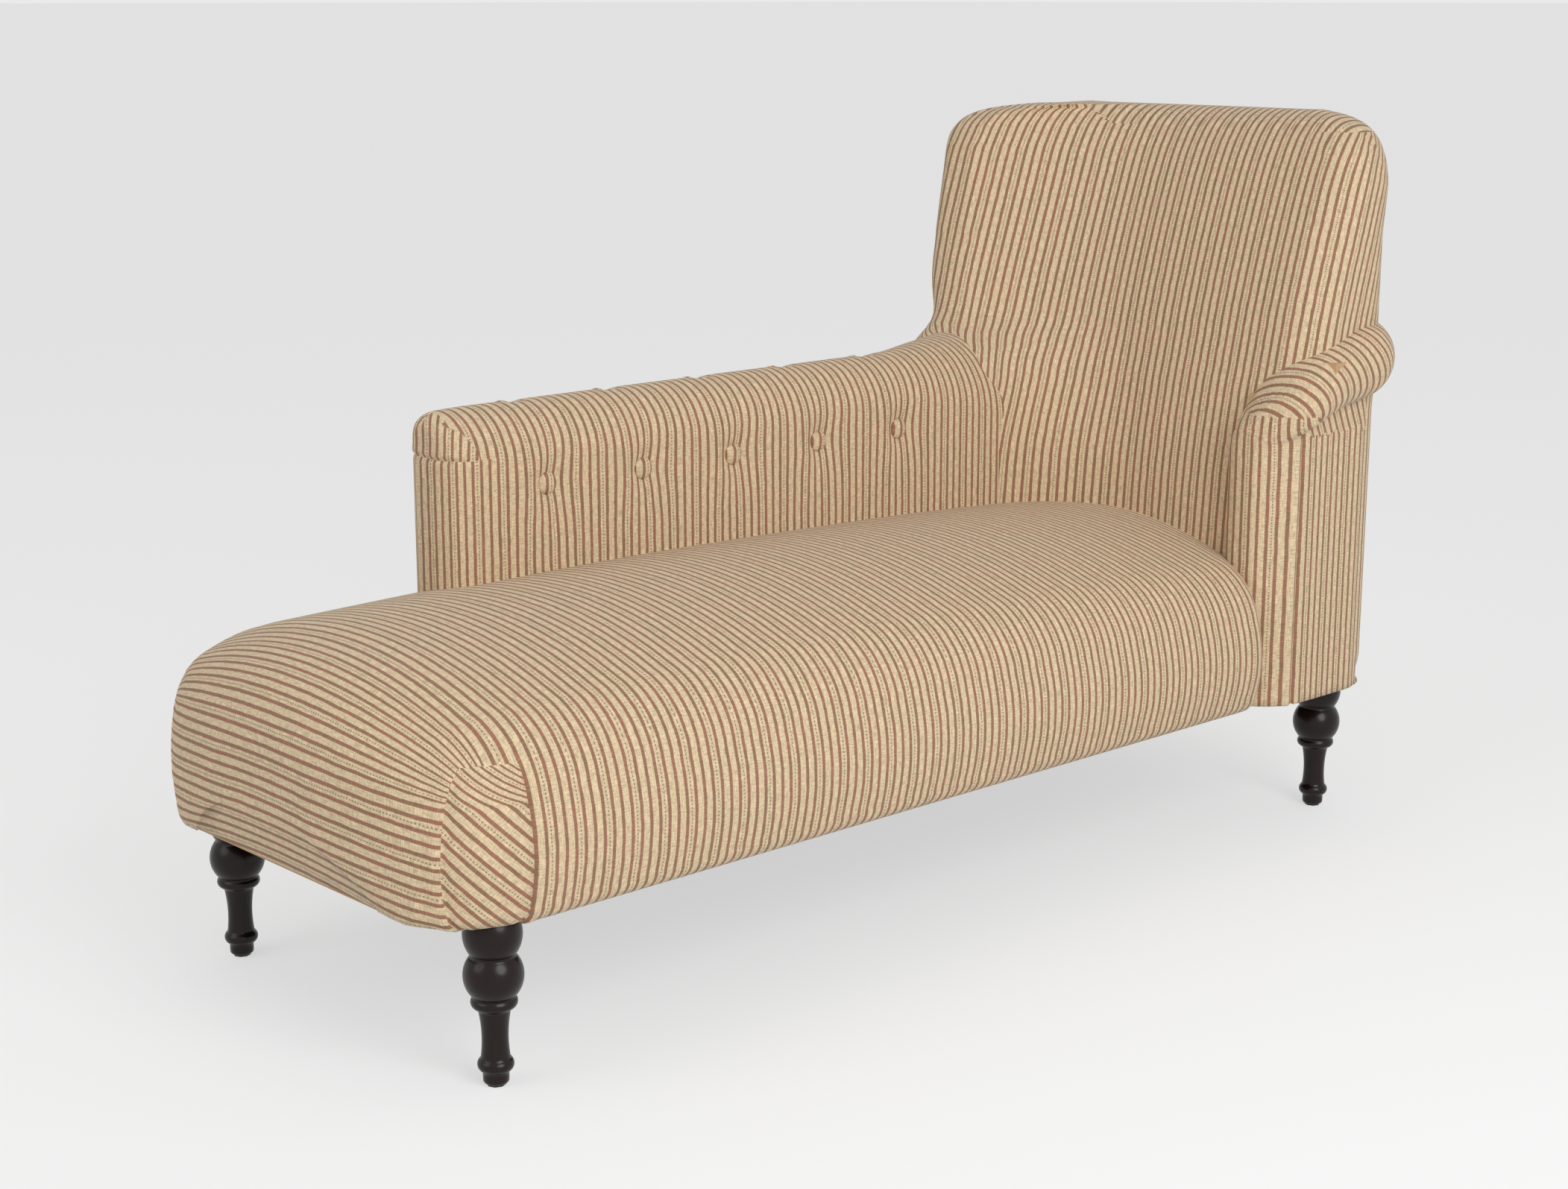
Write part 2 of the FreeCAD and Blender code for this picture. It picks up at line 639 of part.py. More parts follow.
def covers():
    rails = seat_space(GAP, PLATFORM_Z)
    export("seat_cover", less(skin(seat_form), *seat_taken()))
    shell = less(skin(arm_form, FACE), rails, back_form(-GAP))
    panel = box(-FAR, -254, ARM_FRONT + 20, FAR, 0, 575)
    export("long_arm_outside_panel", shell.common(panel))
    inside = box(-FAR, -254 + GAP, ARM_FRONT + 20 - GAP, FAR, 0, 575 + GAP)
    outer = less(shell, inside)
    export("long_arm_cover", main_piece(less(outer, *tufts(0))))
    shell = less(skin(scroll_form, FACE), rails)
    panel = box(280, FAR, SCROLL_FRONT + 60, FAR, 0, 600)
    export("short_arm_outside_panel", shell.common(panel))
    export("short_arm_cover", shell.cut(box(280 - GAP, FAR, SCROLL_FRONT + 60 - GAP, FAR, 0, 600 + GAP)))
    shell = less(skin(back_form), rails, *back_taken())
    panel = box(BACK_LEFT + REAR_R, BACK_RIGHT - REAR_R, REAR_Y - 6, FAR, 0, 930)
    rim = box(BACK_LEFT + REAR_R - GAP, BACK_RIGHT - REAR_R + GAP, REAR_Y - 6 - GAP, FAR, 0, 930 + GAP)
    export("outside_back_panel", shell.common(panel))
    export("inside_back_cover", main_piece(shell.cut(rim)))


# Buttons

def buttons():
    """Covered buttons as low domes: one row in the hollows, one just outside the crest."""
    dome = [(0, BUTTON_R - 1), (3, BUTTON_R), (BUTTON_H, BUTTON_R - 9)]
    face = []
    crest = []
    lean = (-math.sin(CREST_LEAN), 0, math.cos(CREST_LEAN))
    x = CREST_X + (ARM_ROLL + GAP) * lean[0]
    z = ARM_TOP - ARM_ROLL + (ARM_ROLL + GAP) * lean[2]
    for i in range(BUTTON_COUNT):
        y = BUTTON_FIRST + i * BUTTON_STEP
        face.append(rings(dome, BUTTON_SIDES, (ARM_IN - TUFT_DEPTH + GAP, y, BUTTON_Z), (1, 0, 0)))
        crest.append(rings(dome, BUTTON_SIDES, (x, y, z), lean))
    export("long_arm_face_buttons", Part.makeCompound(face))
    export("long_arm_crest_buttons", Part.makeCompound(crest))


frame()
legs()
webbing()
dust_cover()
pads()
covers()
buttons()
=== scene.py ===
"""Looks of the tight-upholstered chaise longue: striped linen, turned legs, buttons and a plain studio."""

import math

import bmesh
import bpy
from mathutils import Matrix, Vector


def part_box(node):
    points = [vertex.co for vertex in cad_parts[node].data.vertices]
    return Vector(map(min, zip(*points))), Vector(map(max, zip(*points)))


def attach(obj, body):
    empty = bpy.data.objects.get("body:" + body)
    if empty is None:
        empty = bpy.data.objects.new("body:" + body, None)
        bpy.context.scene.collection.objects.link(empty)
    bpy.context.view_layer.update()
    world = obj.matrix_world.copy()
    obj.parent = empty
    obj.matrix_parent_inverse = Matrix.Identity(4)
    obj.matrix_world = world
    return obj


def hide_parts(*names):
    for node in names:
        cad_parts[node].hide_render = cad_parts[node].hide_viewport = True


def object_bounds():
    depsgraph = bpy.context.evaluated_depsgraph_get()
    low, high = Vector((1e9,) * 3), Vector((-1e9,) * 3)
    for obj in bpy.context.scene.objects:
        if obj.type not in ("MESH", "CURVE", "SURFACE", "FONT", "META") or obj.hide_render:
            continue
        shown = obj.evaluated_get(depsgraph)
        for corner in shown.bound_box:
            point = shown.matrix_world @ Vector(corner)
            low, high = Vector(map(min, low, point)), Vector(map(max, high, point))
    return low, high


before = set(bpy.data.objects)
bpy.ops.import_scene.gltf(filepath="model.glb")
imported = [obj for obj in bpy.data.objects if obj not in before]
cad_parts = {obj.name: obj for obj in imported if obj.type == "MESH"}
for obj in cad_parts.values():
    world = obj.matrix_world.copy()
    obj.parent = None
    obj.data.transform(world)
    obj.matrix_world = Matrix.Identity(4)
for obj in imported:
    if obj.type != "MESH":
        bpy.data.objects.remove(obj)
cad_low, cad_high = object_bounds()

bl_info = {
    "name": "Striped chaise longue",
    "version": (1, 0, 0),
    "blender": (4, 5, 0),
    "location": "View3D > Sidebar > Chaise",
    "description": "Dresses the frame of a chaise longue in striped linen, with turned legs and buttons",
    "category": "Object",
}

MM = 0.001
MID_X = -20              # the seat's and the legs' middle line
FOOT_Y = cad_low.y
UNDER_Z = 197            # underside of the stuffing, just above the dust cover
HEM_Z = 188              # where the covers turn under the rails
LIP = 24                 # cloth turned under the rails
CAMERA = (2.3443, -2.2106, 1.1386)
CAMERA_YAW = 47.50
CAMERA_PITCH = 13.11
FOCAL_SHARE = 3446 / 2103
SENSOR = 36.0

# Forms in millimetres, as the frame has them

# distance from the foot face, half width, hem height, crown height
SEAT_STATIONS = [
    (0, 100, 262, 350), (12, 183, 232, 387), (20, 214, 214, 397), (27, 237, 195, 406), (34, 255, 192, 413),
    (78, 305, 189, 435),
    (158, 326, 188, 451), (551, 326, 188, 457), (1000, 326, 188, 448),
    (1345, 326, 188, 431), (1385, 296, 188, 428), (1430, 240, 188, 424)]
# share of the half width and of the height, from the hem up to the shoulder
SEAT_OUTLINE = [(0.90, 0.0), (0.95, 0.030), (0.975, 0.10), (1.0, 0.30), (0.972, 0.54), (0.915, 0.70),
                (0.74, 0.845)]
SEAT_HALF = 326
SEAT_NOSE = 158              # length of the rounded foot end
SEAT_CREST = 448             # crown height near the foot end
SEAT_CREST_FALL = 34         # how much lower the shoulder is there
# the corner pleats: their lines on the side and on the foot face, and their top
SEAT_FOLD_Y = -690
SEAT_FOLD_X = 252
SEAT_FOLD_FOOT_Y = -779
SEAT_FOLD_TOP = 366
SEAT_FOOT_ROLL = 96.0        # radius of the turn from the foot face onto the top
# distance from the arm's foot face, how far inner face, outer face and top draw in
ARM_NOSE = [(0, 36, 50, 16), (7, 17, 36, 6), (24, 4, 18, 1), (66, 0, 0, 0)]
# y, outer face, crest line, top
ARM_RUN = [(-406, -263, -197, 653), (283, -263, -197, 653), (420, -318, -220, 660), (512, -335, -256, 664)]
ARM_IN = -131
ARM_FRONT = -472
ARM_NOSE_LENGTH = 66
ARM_TURN = ARM_FRONT + ARM_NOSE_LENGTH
ARM_CREST_X = -197
ARM_TOP = 653
ARM_ROLL = 66
ARM_ARCH = (-170, -467)      # where the arched seam starts on the front cap, x and y
ARM_ARCH_LEAN = (0.69, 0.72)
ARM_KNEE_Z = 400
ARM_BASE = -337
ARM_HIP = 20
ARM_HIP_Z = 296
SEAT_LINE_Z = 430            # where the seat's top meets the arm's inside
ARM_SEAM_Z = 598
# distance behind the front, inner, outer, crest line, top, roll radius, drop of the inner shoulder
SCROLL_STATIONS = [
    (0, 231, 259, 246, 566, 15, 15), (5, 217, 268, 253, 583, 21, 45), (15, 206, 279, 264, 600, 27, 74),
    (32, 198, 293, 279, 620, 33, 92), (62, 193, 302, 290, 651, 41, 76),
    (120, 193, 302, 291, 682, 46, 46), (176, 193, 302, 292, 700, 50, 26),
    (215, 193, 290, 280, 703, 48, 16), (263, 193, 236, 228, 705, 42, 8)]
SCROLL_FRONT = 557
SCROLL_FOLD = SCROLL_FRONT + 52    # the outside panel starts here
SCROLL_BULLNOSE = 62               # depth of the rounded front
SCROLL_TILT = math.radians(24)     # the stripes' slant round the roll
SCROLL_FAN = (284, 585)            # centre of the pleats under the roll's front, x and z
# height, front of the middle, where the hollow starts, where it ends, wing front, rear, left, right
BACK_STATIONS = [
    (188, 572, 40, -133, 468, 820, -336, 302), (484, 589, 32, -133, 463, 820, -336, 302),
    (612, 609, -6, -140, 438, 820, -336, 302), (645, 617, -10, -168, 446, 820, -336, 302),
    (676, 624, -14, -232, 498, 820, -336, 302), (720, 634, -20, -246, 512, 820, -336, 302),
    (880, 683, -33, -270, 547, 820, -336, 302), (935, 707, -24, -270, 560, 818, -336, 288),
    (963, 727, -24, -259, 580, 812, -325, 264), (979, 750, -24, -232, 616, 804, -298, 226),
    (986, 772, -24, -182, 670, 794, -248, 180)]

BACK_TOP = 986
BACK_REAR_R = 78
BACK_FRONT_R = 62
BACK_WING_R = 38
BACK_CREST = 935             # where the top starts to round over
# short seams at the two top corners
BACK_SEAMS = [
    [(302, 735, 912), (296, 790, 914)], [(285, 752, 948), (296, 790, 914)],
    [(-336, 590, 930), (-318, 560, 926)]]
# the let-in outside panel of the back
REAR_FACE = 812
PANEL_LEFT = -258
PANEL_RIGHT = 224
PANEL_TOP = 930
SIDE_SEAM_Y = 640

BUTTON_Z = 557
BUTTON_FIRST = -331
BUTTON_STEP = 151.8
BUTTON_COUNT = 5
BUTTON_R = 14
BUTTON_DOME = 6.5
CREST_LEAN = math.radians(36)      # the outer row leans to the outer side of the roll
BUTTON_ROW = [BUTTON_FIRST + i * BUTTON_STEP for i in range(BUTTON_COUNT)]


# Settings

class FabricSettings(bpy.types.PropertyGroup):
    pitch: bpy.props.FloatProperty(
        name="Stripe pitch", description="From one brown stripe to the next",
        default=12.75 * MM, unit="LENGTH")
    stripe: bpy.props.FloatProperty(
        name="Stripe width", description="Width of a brown stripe", default=4.5 * MM, unit="LENGTH")
    ground: bpy.props.StringProperty(
        name="Ground", description="Linen ground, sRGB hex", default="DAC4A0")
    brown: bpy.props.StringProperty(
        name="Brown", description="Stripe where it is brown, sRGB hex", default="8A6248")
    russet: bpy.props.StringProperty(
        name="Russet", description="Stripe where it is russet, sRGB hex", default="97614D")
    fleck: bpy.props.StringProperty(
        name="Fleck", description="Woven fleck line, sRGB hex", default="6F5C42")


class WoodSettings(bpy.types.PropertyGroup):
    stain: bpy.props.StringProperty(
        name="Leg stain", description="Dark lacquered beech, sRGB hex", default="1C0F0B")
    raw: bpy.props.StringProperty(
        name="Frame wood", description="Sawn beech, sRGB hex", default="C9A57A")


class StageSettings(bpy.types.PropertyGroup):
    floor: bpy.props.StringProperty(
        name="Floor", description="Studio floor, sRGB hex", default="E4E4E4")
    lamp_power: bpy.props.FloatProperty(
        name="Lamp power", description="Watts of the key lamp", default=76.0)


# Colours, nodes and materials

def linear(hex_code):
    """sRGB hex to linear RGBA."""
    values = [int(hex_code[i:i + 2], 16) / 255 for i in (0, 2, 4)]
    return tuple(v / 12.92 if v <= 0.04045 else ((v + 0.055) / 1.055) ** 2.4 for v in values) + (1.0,)


def add(tree, kind, settings=None, **links):
    """Add a node, set its properties and connect or fill its inputs by name or number."""
    node = tree.nodes.new(kind)
    for key, value in (settings or {}).items():
        setattr(node, key, value)
    for key, value in links.items():
        socket = node.inputs[int(key[1:])] if key[0] == "i" and key[1:].isdigit() else node.inputs[key]
        if isinstance(value, bpy.types.NodeSocket):
            tree.links.new(value, socket)
        else:
            socket.default_value = value
    return node


def new_material(name):
    """An empty material with its tree and its main shader."""
    material = bpy.data.materials.new(name)
    material.use_nodes = True
    tree = material.node_tree
    shader = tree.nodes["Principled BSDF"]
    return material, tree, shader


def calc(tree, operation, a, b=0.0, c=0.0):
    return add(tree, "ShaderNodeMath", {"operation": operation}, i0=a, i1=b, i2=c).outputs[0]


def band(tree, coordinate, pitch, width, soft, phase=0.0):
    """1 inside a stripe of the given width, once every pitch, with softened edges."""
    shifted = calc(tree, "ADD", coordinate, phase)
    turn = calc(tree, "PINGPONG", shifted, pitch / 2)
    edge = add(tree, "ShaderNodeMapRange", {"interpolation_type": "SMOOTHSTEP"}, i0=turn,
               i1=width / 2 - soft, i2=width / 2 + soft, i3=1.0, i4=0.0)
    return edge.outputs[0]


def mix_colour(tree, factor, a, b, blend="MIX"):
    node = tree.nodes.new("ShaderNodeMix")
    node.data_type = "RGBA"
    node.blend_type = blend
    for socket, value in ((node.inputs[0], factor), (node.inputs[6], a), (node.inputs[7], b)):
        if isinstance(value, bpy.types.NodeSocket):
            tree.links.new(value, socket)
        else:
            socket.default_value = value
    return node.outputs[2]


def striped_linen():
    """Plain-woven slub linen with woven stripes: matt, a little fuzzy, uneven yarns across it."""
    s = bpy.context.scene.chaise_fabric
    material, tree, shader = new_material("striped_slub_linen")
    uv = add(tree, "ShaderNodeUVMap", {"uv_map": "Cloth"}).outputs[0]
    parts = add(tree, "ShaderNodeSeparateXYZ", i0=uv).outputs
    flat = {"noise_dimensions": "2D"}
    wander = add(tree, "ShaderNodeTexNoise", flat, Vector=uv, Scale=38.0, Detail=2.0)
    sway = calc(tree, "MULTIPLY_ADD", wander.outputs[0], 1.3 * MM, -0.65 * MM)
    across = calc(tree, "ADD", parts[0], sway)
    along = parts[1]
    stripes = band(tree, across, s.pitch, s.stripe, 0.5 * MM)
    # every third pale gap carries a line of dark flecks about four millimetres apart
    line = band(tree, across, 3 * s.pitch, 1.7 * MM, 0.4 * MM, 1.5 * s.pitch)
    dots = band(tree, along, 4.2 * MM, 2.3 * MM, 0.5 * MM)
    flecks = calc(tree, "MULTIPLY", line, dots)
    # slubs: long thin streaks one way and short ones the other, drawn at about one millimetre
    stretched = add(tree, "ShaderNodeMapping", Vector=uv, Scale=(900.0, 90.0, 1.0)).outputs[0]
    crossed = add(tree, "ShaderNodeMapping", Vector=uv, Scale=(110.0, 800.0, 1.0)).outputs[0]
    warp = add(tree, "ShaderNodeTexNoise", flat, Vector=stretched, Scale=1.0, Detail=3.0)
    weft = add(tree, "ShaderNodeTexNoise", flat, Vector=crossed, Scale=1.0, Detail=3.0)
    yarn = calc(tree, "ADD", warp.outputs[0], weft.outputs[0])
    drift = add(tree, "ShaderNodeTexNoise", flat, Vector=uv, Scale=26.0, Detail=1.0)
    hue = add(tree, "ShaderNodeMapRange", i0=drift.outputs[0], i1=0.42, i2=0.58, i3=0.0, i4=1.0).outputs[0]
    stripe_colour = mix_colour(tree, hue, linear(s.brown), linear(s.russet))
    strength = add(tree, "ShaderNodeMapRange", i0=warp.outputs[0], i1=0.3, i2=0.7, i3=0.78, i4=1.0)
    inside = calc(tree, "MULTIPLY", stripes, strength.outputs[0])
    colour = mix_colour(tree, inside, linear(s.ground), stripe_colour)
    colour = mix_colour(tree, calc(tree, "MULTIPLY", flecks, 0.7), colour, linear(s.fleck))
    shade = add(tree, "ShaderNodeMapRange", i0=yarn, i1=0.75, i2=1.25, i3=0.70, i4=1.16).outputs[0]
    grey = add(tree, "ShaderNodeCombineColor", i0=shade, i1=shade, i2=shade).outputs[0]
    colour = mix_colour(tree, 1.0, colour, grey, "MULTIPLY")
    tree.links.new(colour, shader.inputs["Base Color"])
    bump = add(tree, "ShaderNodeBump", Strength=0.35, Distance=0.6 * MM, Height=yarn)
    tree.links.new(bump.outputs[0], shader.inputs["Normal"])
    shader.inputs["Roughness"].default_value = 0.9
    shader.inputs["Specular IOR Level"].default_value = 0.25
    shader.inputs["Sheen Weight"].default_value = 0.12
    shader.inputs["Sheen Roughness"].default_value = 0.6
    return material


def wood(name, hex_code, roughness, coat, contrast):
    """Beech: fine grain along Z."""
    material, tree, shader = new_material(name)
    place = add(tree, "ShaderNodeTexCoord").outputs["Object"]
    grain = add(tree, "ShaderNodeMapping", Vector=place, Scale=(320.0, 320.0, 22.0)).outputs[0]
    fibre = add(tree, "ShaderNodeTexNoise", Vector=grain, Scale=1.0, Detail=4.0)
    base = linear(hex_code)
    dark = tuple(c * (1 - contrast) for c in base[:3]) + (1.0,)
    colour = mix_colour(tree, fibre.outputs[0], dark, base)
    tree.links.new(colour, shader.inputs["Base Color"])
    bump = add(tree, "ShaderNodeBump", Strength=0.08, Distance=0.2 * MM, Height=fibre.outputs[0])
    tree.links.new(bump.outputs[0], shader.inputs["Normal"])
    shader.inputs["Roughness"].default_value = roughness
    shader.inputs["Coat Weight"].default_value = coat
    shader.inputs["Coat Roughness"].default_value = 0.12
    return material


def woven(name, hex_code, pitch, roughness=0.95):
    """Plain coarse weave on Object coordinates, for jute, hessian and black lining."""
    material, tree, shader = new_material(name)
    place = add(tree, "ShaderNodeTexCoord").outputs["Object"]
    parts = add(tree, "ShaderNodeSeparateXYZ", i0=place).outputs
    a = calc(tree, "SINE", calc(tree, "MULTIPLY", parts[0], math.tau / pitch))
    b = calc(tree, "SINE", calc(tree, "MULTIPLY", parts[1], math.tau / pitch))
    height = calc(tree, "MULTIPLY", a, b)
    noise = add(tree, "ShaderNodeTexNoise", Vector=place, Scale=240.0, Detail=3.0)
    base = linear(hex_code)
    dark = tuple(c * 0.6 for c in base[:3]) + (1.0,)
    tree.links.new(mix_colour(tree, noise.outputs[0], dark, base), shader.inputs["Base Color"])
    bump = add(tree, "ShaderNodeBump", Strength=0.4, Distance=0.5 * MM, Height=height)
    tree.links.new(bump.outputs[0], shader.inputs["Normal"])
    shader.inputs["Roughness"].default_value = roughness
    return material


# Shaping tools

# the cloth's length round each form, kept per vertex while its stripes are laid
vert_layer = {}


def eased(stations, x):
    """Values of a row of stations at x, on a smooth line that doesn't overshoot them."""
    keys = [row[0] for row in stations]
    x = min(max(x, keys[0]), keys[-1])
    i = max(j for j in range(len(keys) - 1) if keys[j] <= x)
    h = keys[i + 1] - keys[i]
    t = (x - keys[i]) / h

    def rise(j, c):
        return (stations[j + 1][c] - stations[j][c]) / (keys[j + 1] - keys[j])

    def slope(j, c):
        if j == 0 or j == len(keys) - 1:
            return rise(min(j, len(keys) - 2), c)
        a, b = rise(j - 1, c), rise(j, c)
        return 0.0 if a * b <= 0 else 2 * a * b / (a + b)

    values = []
    for c in range(1, len(stations[0])):
        p, q = stations[i][c], stations[i + 1][c]
        m, n = slope(i, c) * h, slope(i + 1, c) * h
        values.append(p + t * m + t * t * (3 * (q - p) - 2 * m - n) + t ** 3 * (2 * (p - q) + m + n))
    return values


def run(a, b, count):
    """Points from a towards b, without b."""
    return [(a[0] + (b[0] - a[0]) * i / count, a[1] + (b[1] - a[1]) * i / count) for i in range(count)]


def bend(a, m, b, count):
    """Points along the arc through three points, without the last."""
    d = 2 * (a[0] * (m[1] - b[1]) + m[0] * (b[1] - a[1]) + b[0] * (a[1] - m[1]))
    if abs(d) < 1e-6:
        return run(a, b, count)
    sq = [p[0] ** 2 + p[1] ** 2 for p in (a, m, b)]
    cx = (sq[0] * (m[1] - b[1]) + sq[1] * (b[1] - a[1]) + sq[2] * (a[1] - m[1])) / d
    cy = (sq[0] * (b[0] - m[0]) + sq[1] * (a[0] - b[0]) + sq[2] * (m[0] - a[0])) / d
    r = math.hypot(a[0] - cx, a[1] - cy)
    t0, t1, t2 = (math.atan2(p[1] - cy, p[0] - cx) for p in (a, m, b))
    turn = (t2 - t0) % math.tau
    if (t1 - t0) % math.tau > turn:
        turn -= math.tau
    return [(cx + r * math.cos(t0 + turn * i / count), cy + r * math.sin(t0 + turn * i / count))
            for i in range(count)]


def quilt(rows):
    """A grid of quads laid on rows of points; each vertex also keeps how far along its row it is."""
    bm = bmesh.new()
    n, m = len(rows) - 1, len(rows[0])
    rows = [row + row[:1] for row in rows]
    bmesh.ops.create_grid(bm, x_segments=n, y_segments=m, size=0.5)
    around = bm.verts.layers.float.new("around")
    lengths = []
    for row in rows:
        total = [0.0]
        for a, b in zip(row, row[1:]):
            total.append(total[-1] + (Vector(a) - Vector(b)).length)
        lengths.append(total)
    for v in bm.verts:
        i = round((v.co.x + 0.5) * n)
        k = round((v.co.y + 0.5) * m)
        v[around] = lengths[i][k] * MM
        v.co = Vector(rows[i][k]) * MM
    bmesh.ops.remove_doubles(bm, verts=bm.verts, dist=1e-6)
    return bm


def close_ends(bm):
    """Fill the open ends of a form and turn all its faces outwards."""
    rims = [e for e in bm.edges if e.is_boundary]
    made = bmesh.ops.holes_fill(bm, edges=rims, sides=0)["faces"]
    bmesh.ops.triangulate(bm, faces=made)
    bmesh.ops.recalc_face_normals(bm, faces=bm.faces)


def cut(bm, point, normal, keep):
    """Put a row of edges where a seam's plane crosses the cloth."""
    faces = [f for f in bm.faces if keep(f.calc_center_median() / MM)]
    edges = {e for f in faces for e in f.edges}
    verts = {v for f in faces for v in f.verts}
    bmesh.ops.bisect_plane(bm, geom=[*verts, *edges, *faces], dist=1e-5,
                           plane_co=Vector(point) * MM, plane_no=normal)


def refine(bm, near, cuts=1):
    """Finer mesh where a fold or a hollow needs it."""
    edges = [e for e in bm.edges if near((e.verts[0].co + e.verts[1].co) / 2 / MM)]
    bmesh.ops.subdivide_edges(bm, edges=edges, cuts=cuts, use_grid_fill=True)


def ease(bm, verts):
    """Relax some vertices once."""
    bmesh.ops.smooth_vert(bm, verts=verts, factor=0.5, use_axis_x=True, use_axis_y=True, use_axis_z=True)


def lay_cloth(bm, rule):
    """Give each corner its place on the bolt: metres across the stripes, metres along them."""
    uv = bm.loops.layers.uv.new("Cloth")
    for face in bm.faces:
        centre = face.calc_center_median() / MM
        for loop in face.loops:
            loop[uv].uv = rule(centre, loop.vert)


def move(bm, shift):
    """Push vertices along their normals by shift(point in millimetres), in millimetres."""
    bm.normal_update()
    steps = [(v, v.normal * shift(v.co / MM, v.normal) * MM) for v in bm.verts]
    for v, step in steps:
        v.co += step


def along_line(point, path):
    """Distance from a point to a broken line."""
    best = 1e9
    for a, b in zip(path, path[1:]):
        a, b = Vector(a), Vector(b)
        t = max(0.0, min(1.0, (point - a).dot(b - a) / (b - a).length_squared))
        best = min(best, (point - a - t * (b - a)).length)
    return best


def bell(distance, width):
    """1 at no distance, falling smoothly to nothing past about twice the width."""
    return math.exp(-(distance / width) ** 2)


def finish_piece(bm, name, material, replaced):
    """Make the shaped mesh a piece of the scene that stands for its solids."""
    mesh = bpy.data.meshes.new(name)
    bm.to_mesh(mesh)
    bm.free()
    for polygon in mesh.polygons:
        polygon.use_smooth = True
    piece = bpy.data.objects.new(name, mesh)
    bpy.context.scene.collection.objects.link(piece)
    mesh.materials.append(material)
    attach(piece, "root")
    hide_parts(*replaced)


def linen():
    return bpy.data.materials["striped_slub_linen"]


# Seat

def seat_row(d, half, low, crown):
    """One slice across the seat, with the cloth turned under and the stuffing's flat underside."""
    y = FOOT_Y / MM + d
    h = crown - low
    under = max(low + 3, UNDER_Z)
    hem, tuck, side, belly, waist, roll, shoulder = [(half * a, low + h * b) for a, b in SEAT_OUTLINE]
    lip = (0.80 * half, low)
    inner = (0.78 * half, under)
    right = run(inner, lip, 2) + run(lip, hem, 3) + bend(hem, tuck, side, 5) + bend(side, belly, waist, 10)
    right += bend(waist, roll, shoulder, 10)
    top = bend(shoulder, (0, crown), (-shoulder[0], shoulder[1]), 44)
    left = [(-x, z) for x, z in reversed(right + [shoulder])][:-1]
    points = right + top + left + run((-inner[0], under), inner, 8)
    return [(MID_X + x, y, z) for x, z in points]


def seat_foot_coordinate(co):
    """Metres across the stripes where they run level round the foot end and over onto the top."""
    x, y, z = co
    d = y - FOOT_Y / MM
    off = abs(x - MID_X) / SEAT_HALF
    roll = SEAT_FOOT_ROLL
    crest = SEAT_CREST - SEAT_CREST_FALL * off ** 2
    if d > roll:
        return y * MM
    if z < crest - roll:
        return (FOOT_Y / MM + roll - roll * math.pi / 2 - (crest - roll - z)) * MM
    angle = math.atan2(max(roll - d, 0.0), max(z - crest + roll, 1e-3))
    return (FOOT_Y / MM + roll - roll * angle) * MM


def seat_rule(centre, vert):
    """Level on the foot end, upright on the sides, and slanting down in the two corner gussets."""
    x, y, z = vert.co / MM
    fold = abs(centre.x - MID_X) > SEAT_FOLD_X - MID_X
    if centre.z < SEAT_FOLD_TOP and centre.y < SEAT_FOLD_Y and fold:
        off = abs(x - MID_X)
        from_fold = off - (SEAT_FOLD_X - MID_X)
        round_corner = max(0.0, 0.45 * from_fold + 0.9 * (y - SEAT_FOLD_FOOT_Y))
        drop = SEAT_FOLD_TOP - z
        start = seat_foot_coordinate(Vector((SEAT_FOLD_X, SEAT_FOLD_FOOT_Y, SEAT_FOLD_TOP))) / MM
        crowding = 0.72 + 0.54 * max(0.0, 1 - drop / 40)
        return (start - 0.75 * drop + crowding * round_corner) * MM, (0.7 * round_corner - 0.7 * z) * MM
    if centre.y < SEAT_FOLD_Y or centre.z > SEAT_FOLD_TOP:
        return seat_foot_coordinate(Vector((x, y, z))), x * MM
    return y * MM, z * MM


def seat_shape(co, normal):
    """Folds of the two corner pleats and the slightly drawn hem."""
    shift = 0.0
    x = co.x - MID_X
    if co.y < -600 and co.z < 400:
        fade = max(0.0, min(1.0, (SEAT_FOLD_TOP + 10 - co.z) / 30))
        side_fold = co.y - SEAT_FOLD_Y
        foot_fold = abs(x) - (SEAT_FOLD_X - MID_X)
        if abs(x) > 240:
            shift += fade * (1.8 * bell(side_fold - 5, 7) - 4.0 * bell(side_fold + 2.5, 3.5))
        if co.y < -700:
            shift += fade * (1.8 * bell(foot_fold + 5, 7) - 4.0 * bell(foot_fold - 2.5, 3.5))
    if 192 < co.z < 240 and normal.z > -0.8:
        shift += 0.7 * math.sin(co.y / 17.0) * math.sin(co.y / 41.0 + 1)
    return shift


def tuck_under_arm(bm):
    """The seat's far side stops short inside the long arm."""
    start, length, limit = -0.445, 0.02, -0.250
    for v in bm.verts:
        if v.co.y > start:
            t = min((v.co.y - start) / length, 1.0)
            inside = max(v.co.x, limit)
            v.co.x += (inside - v.co.x) * t * t * (3 - 2 * t)


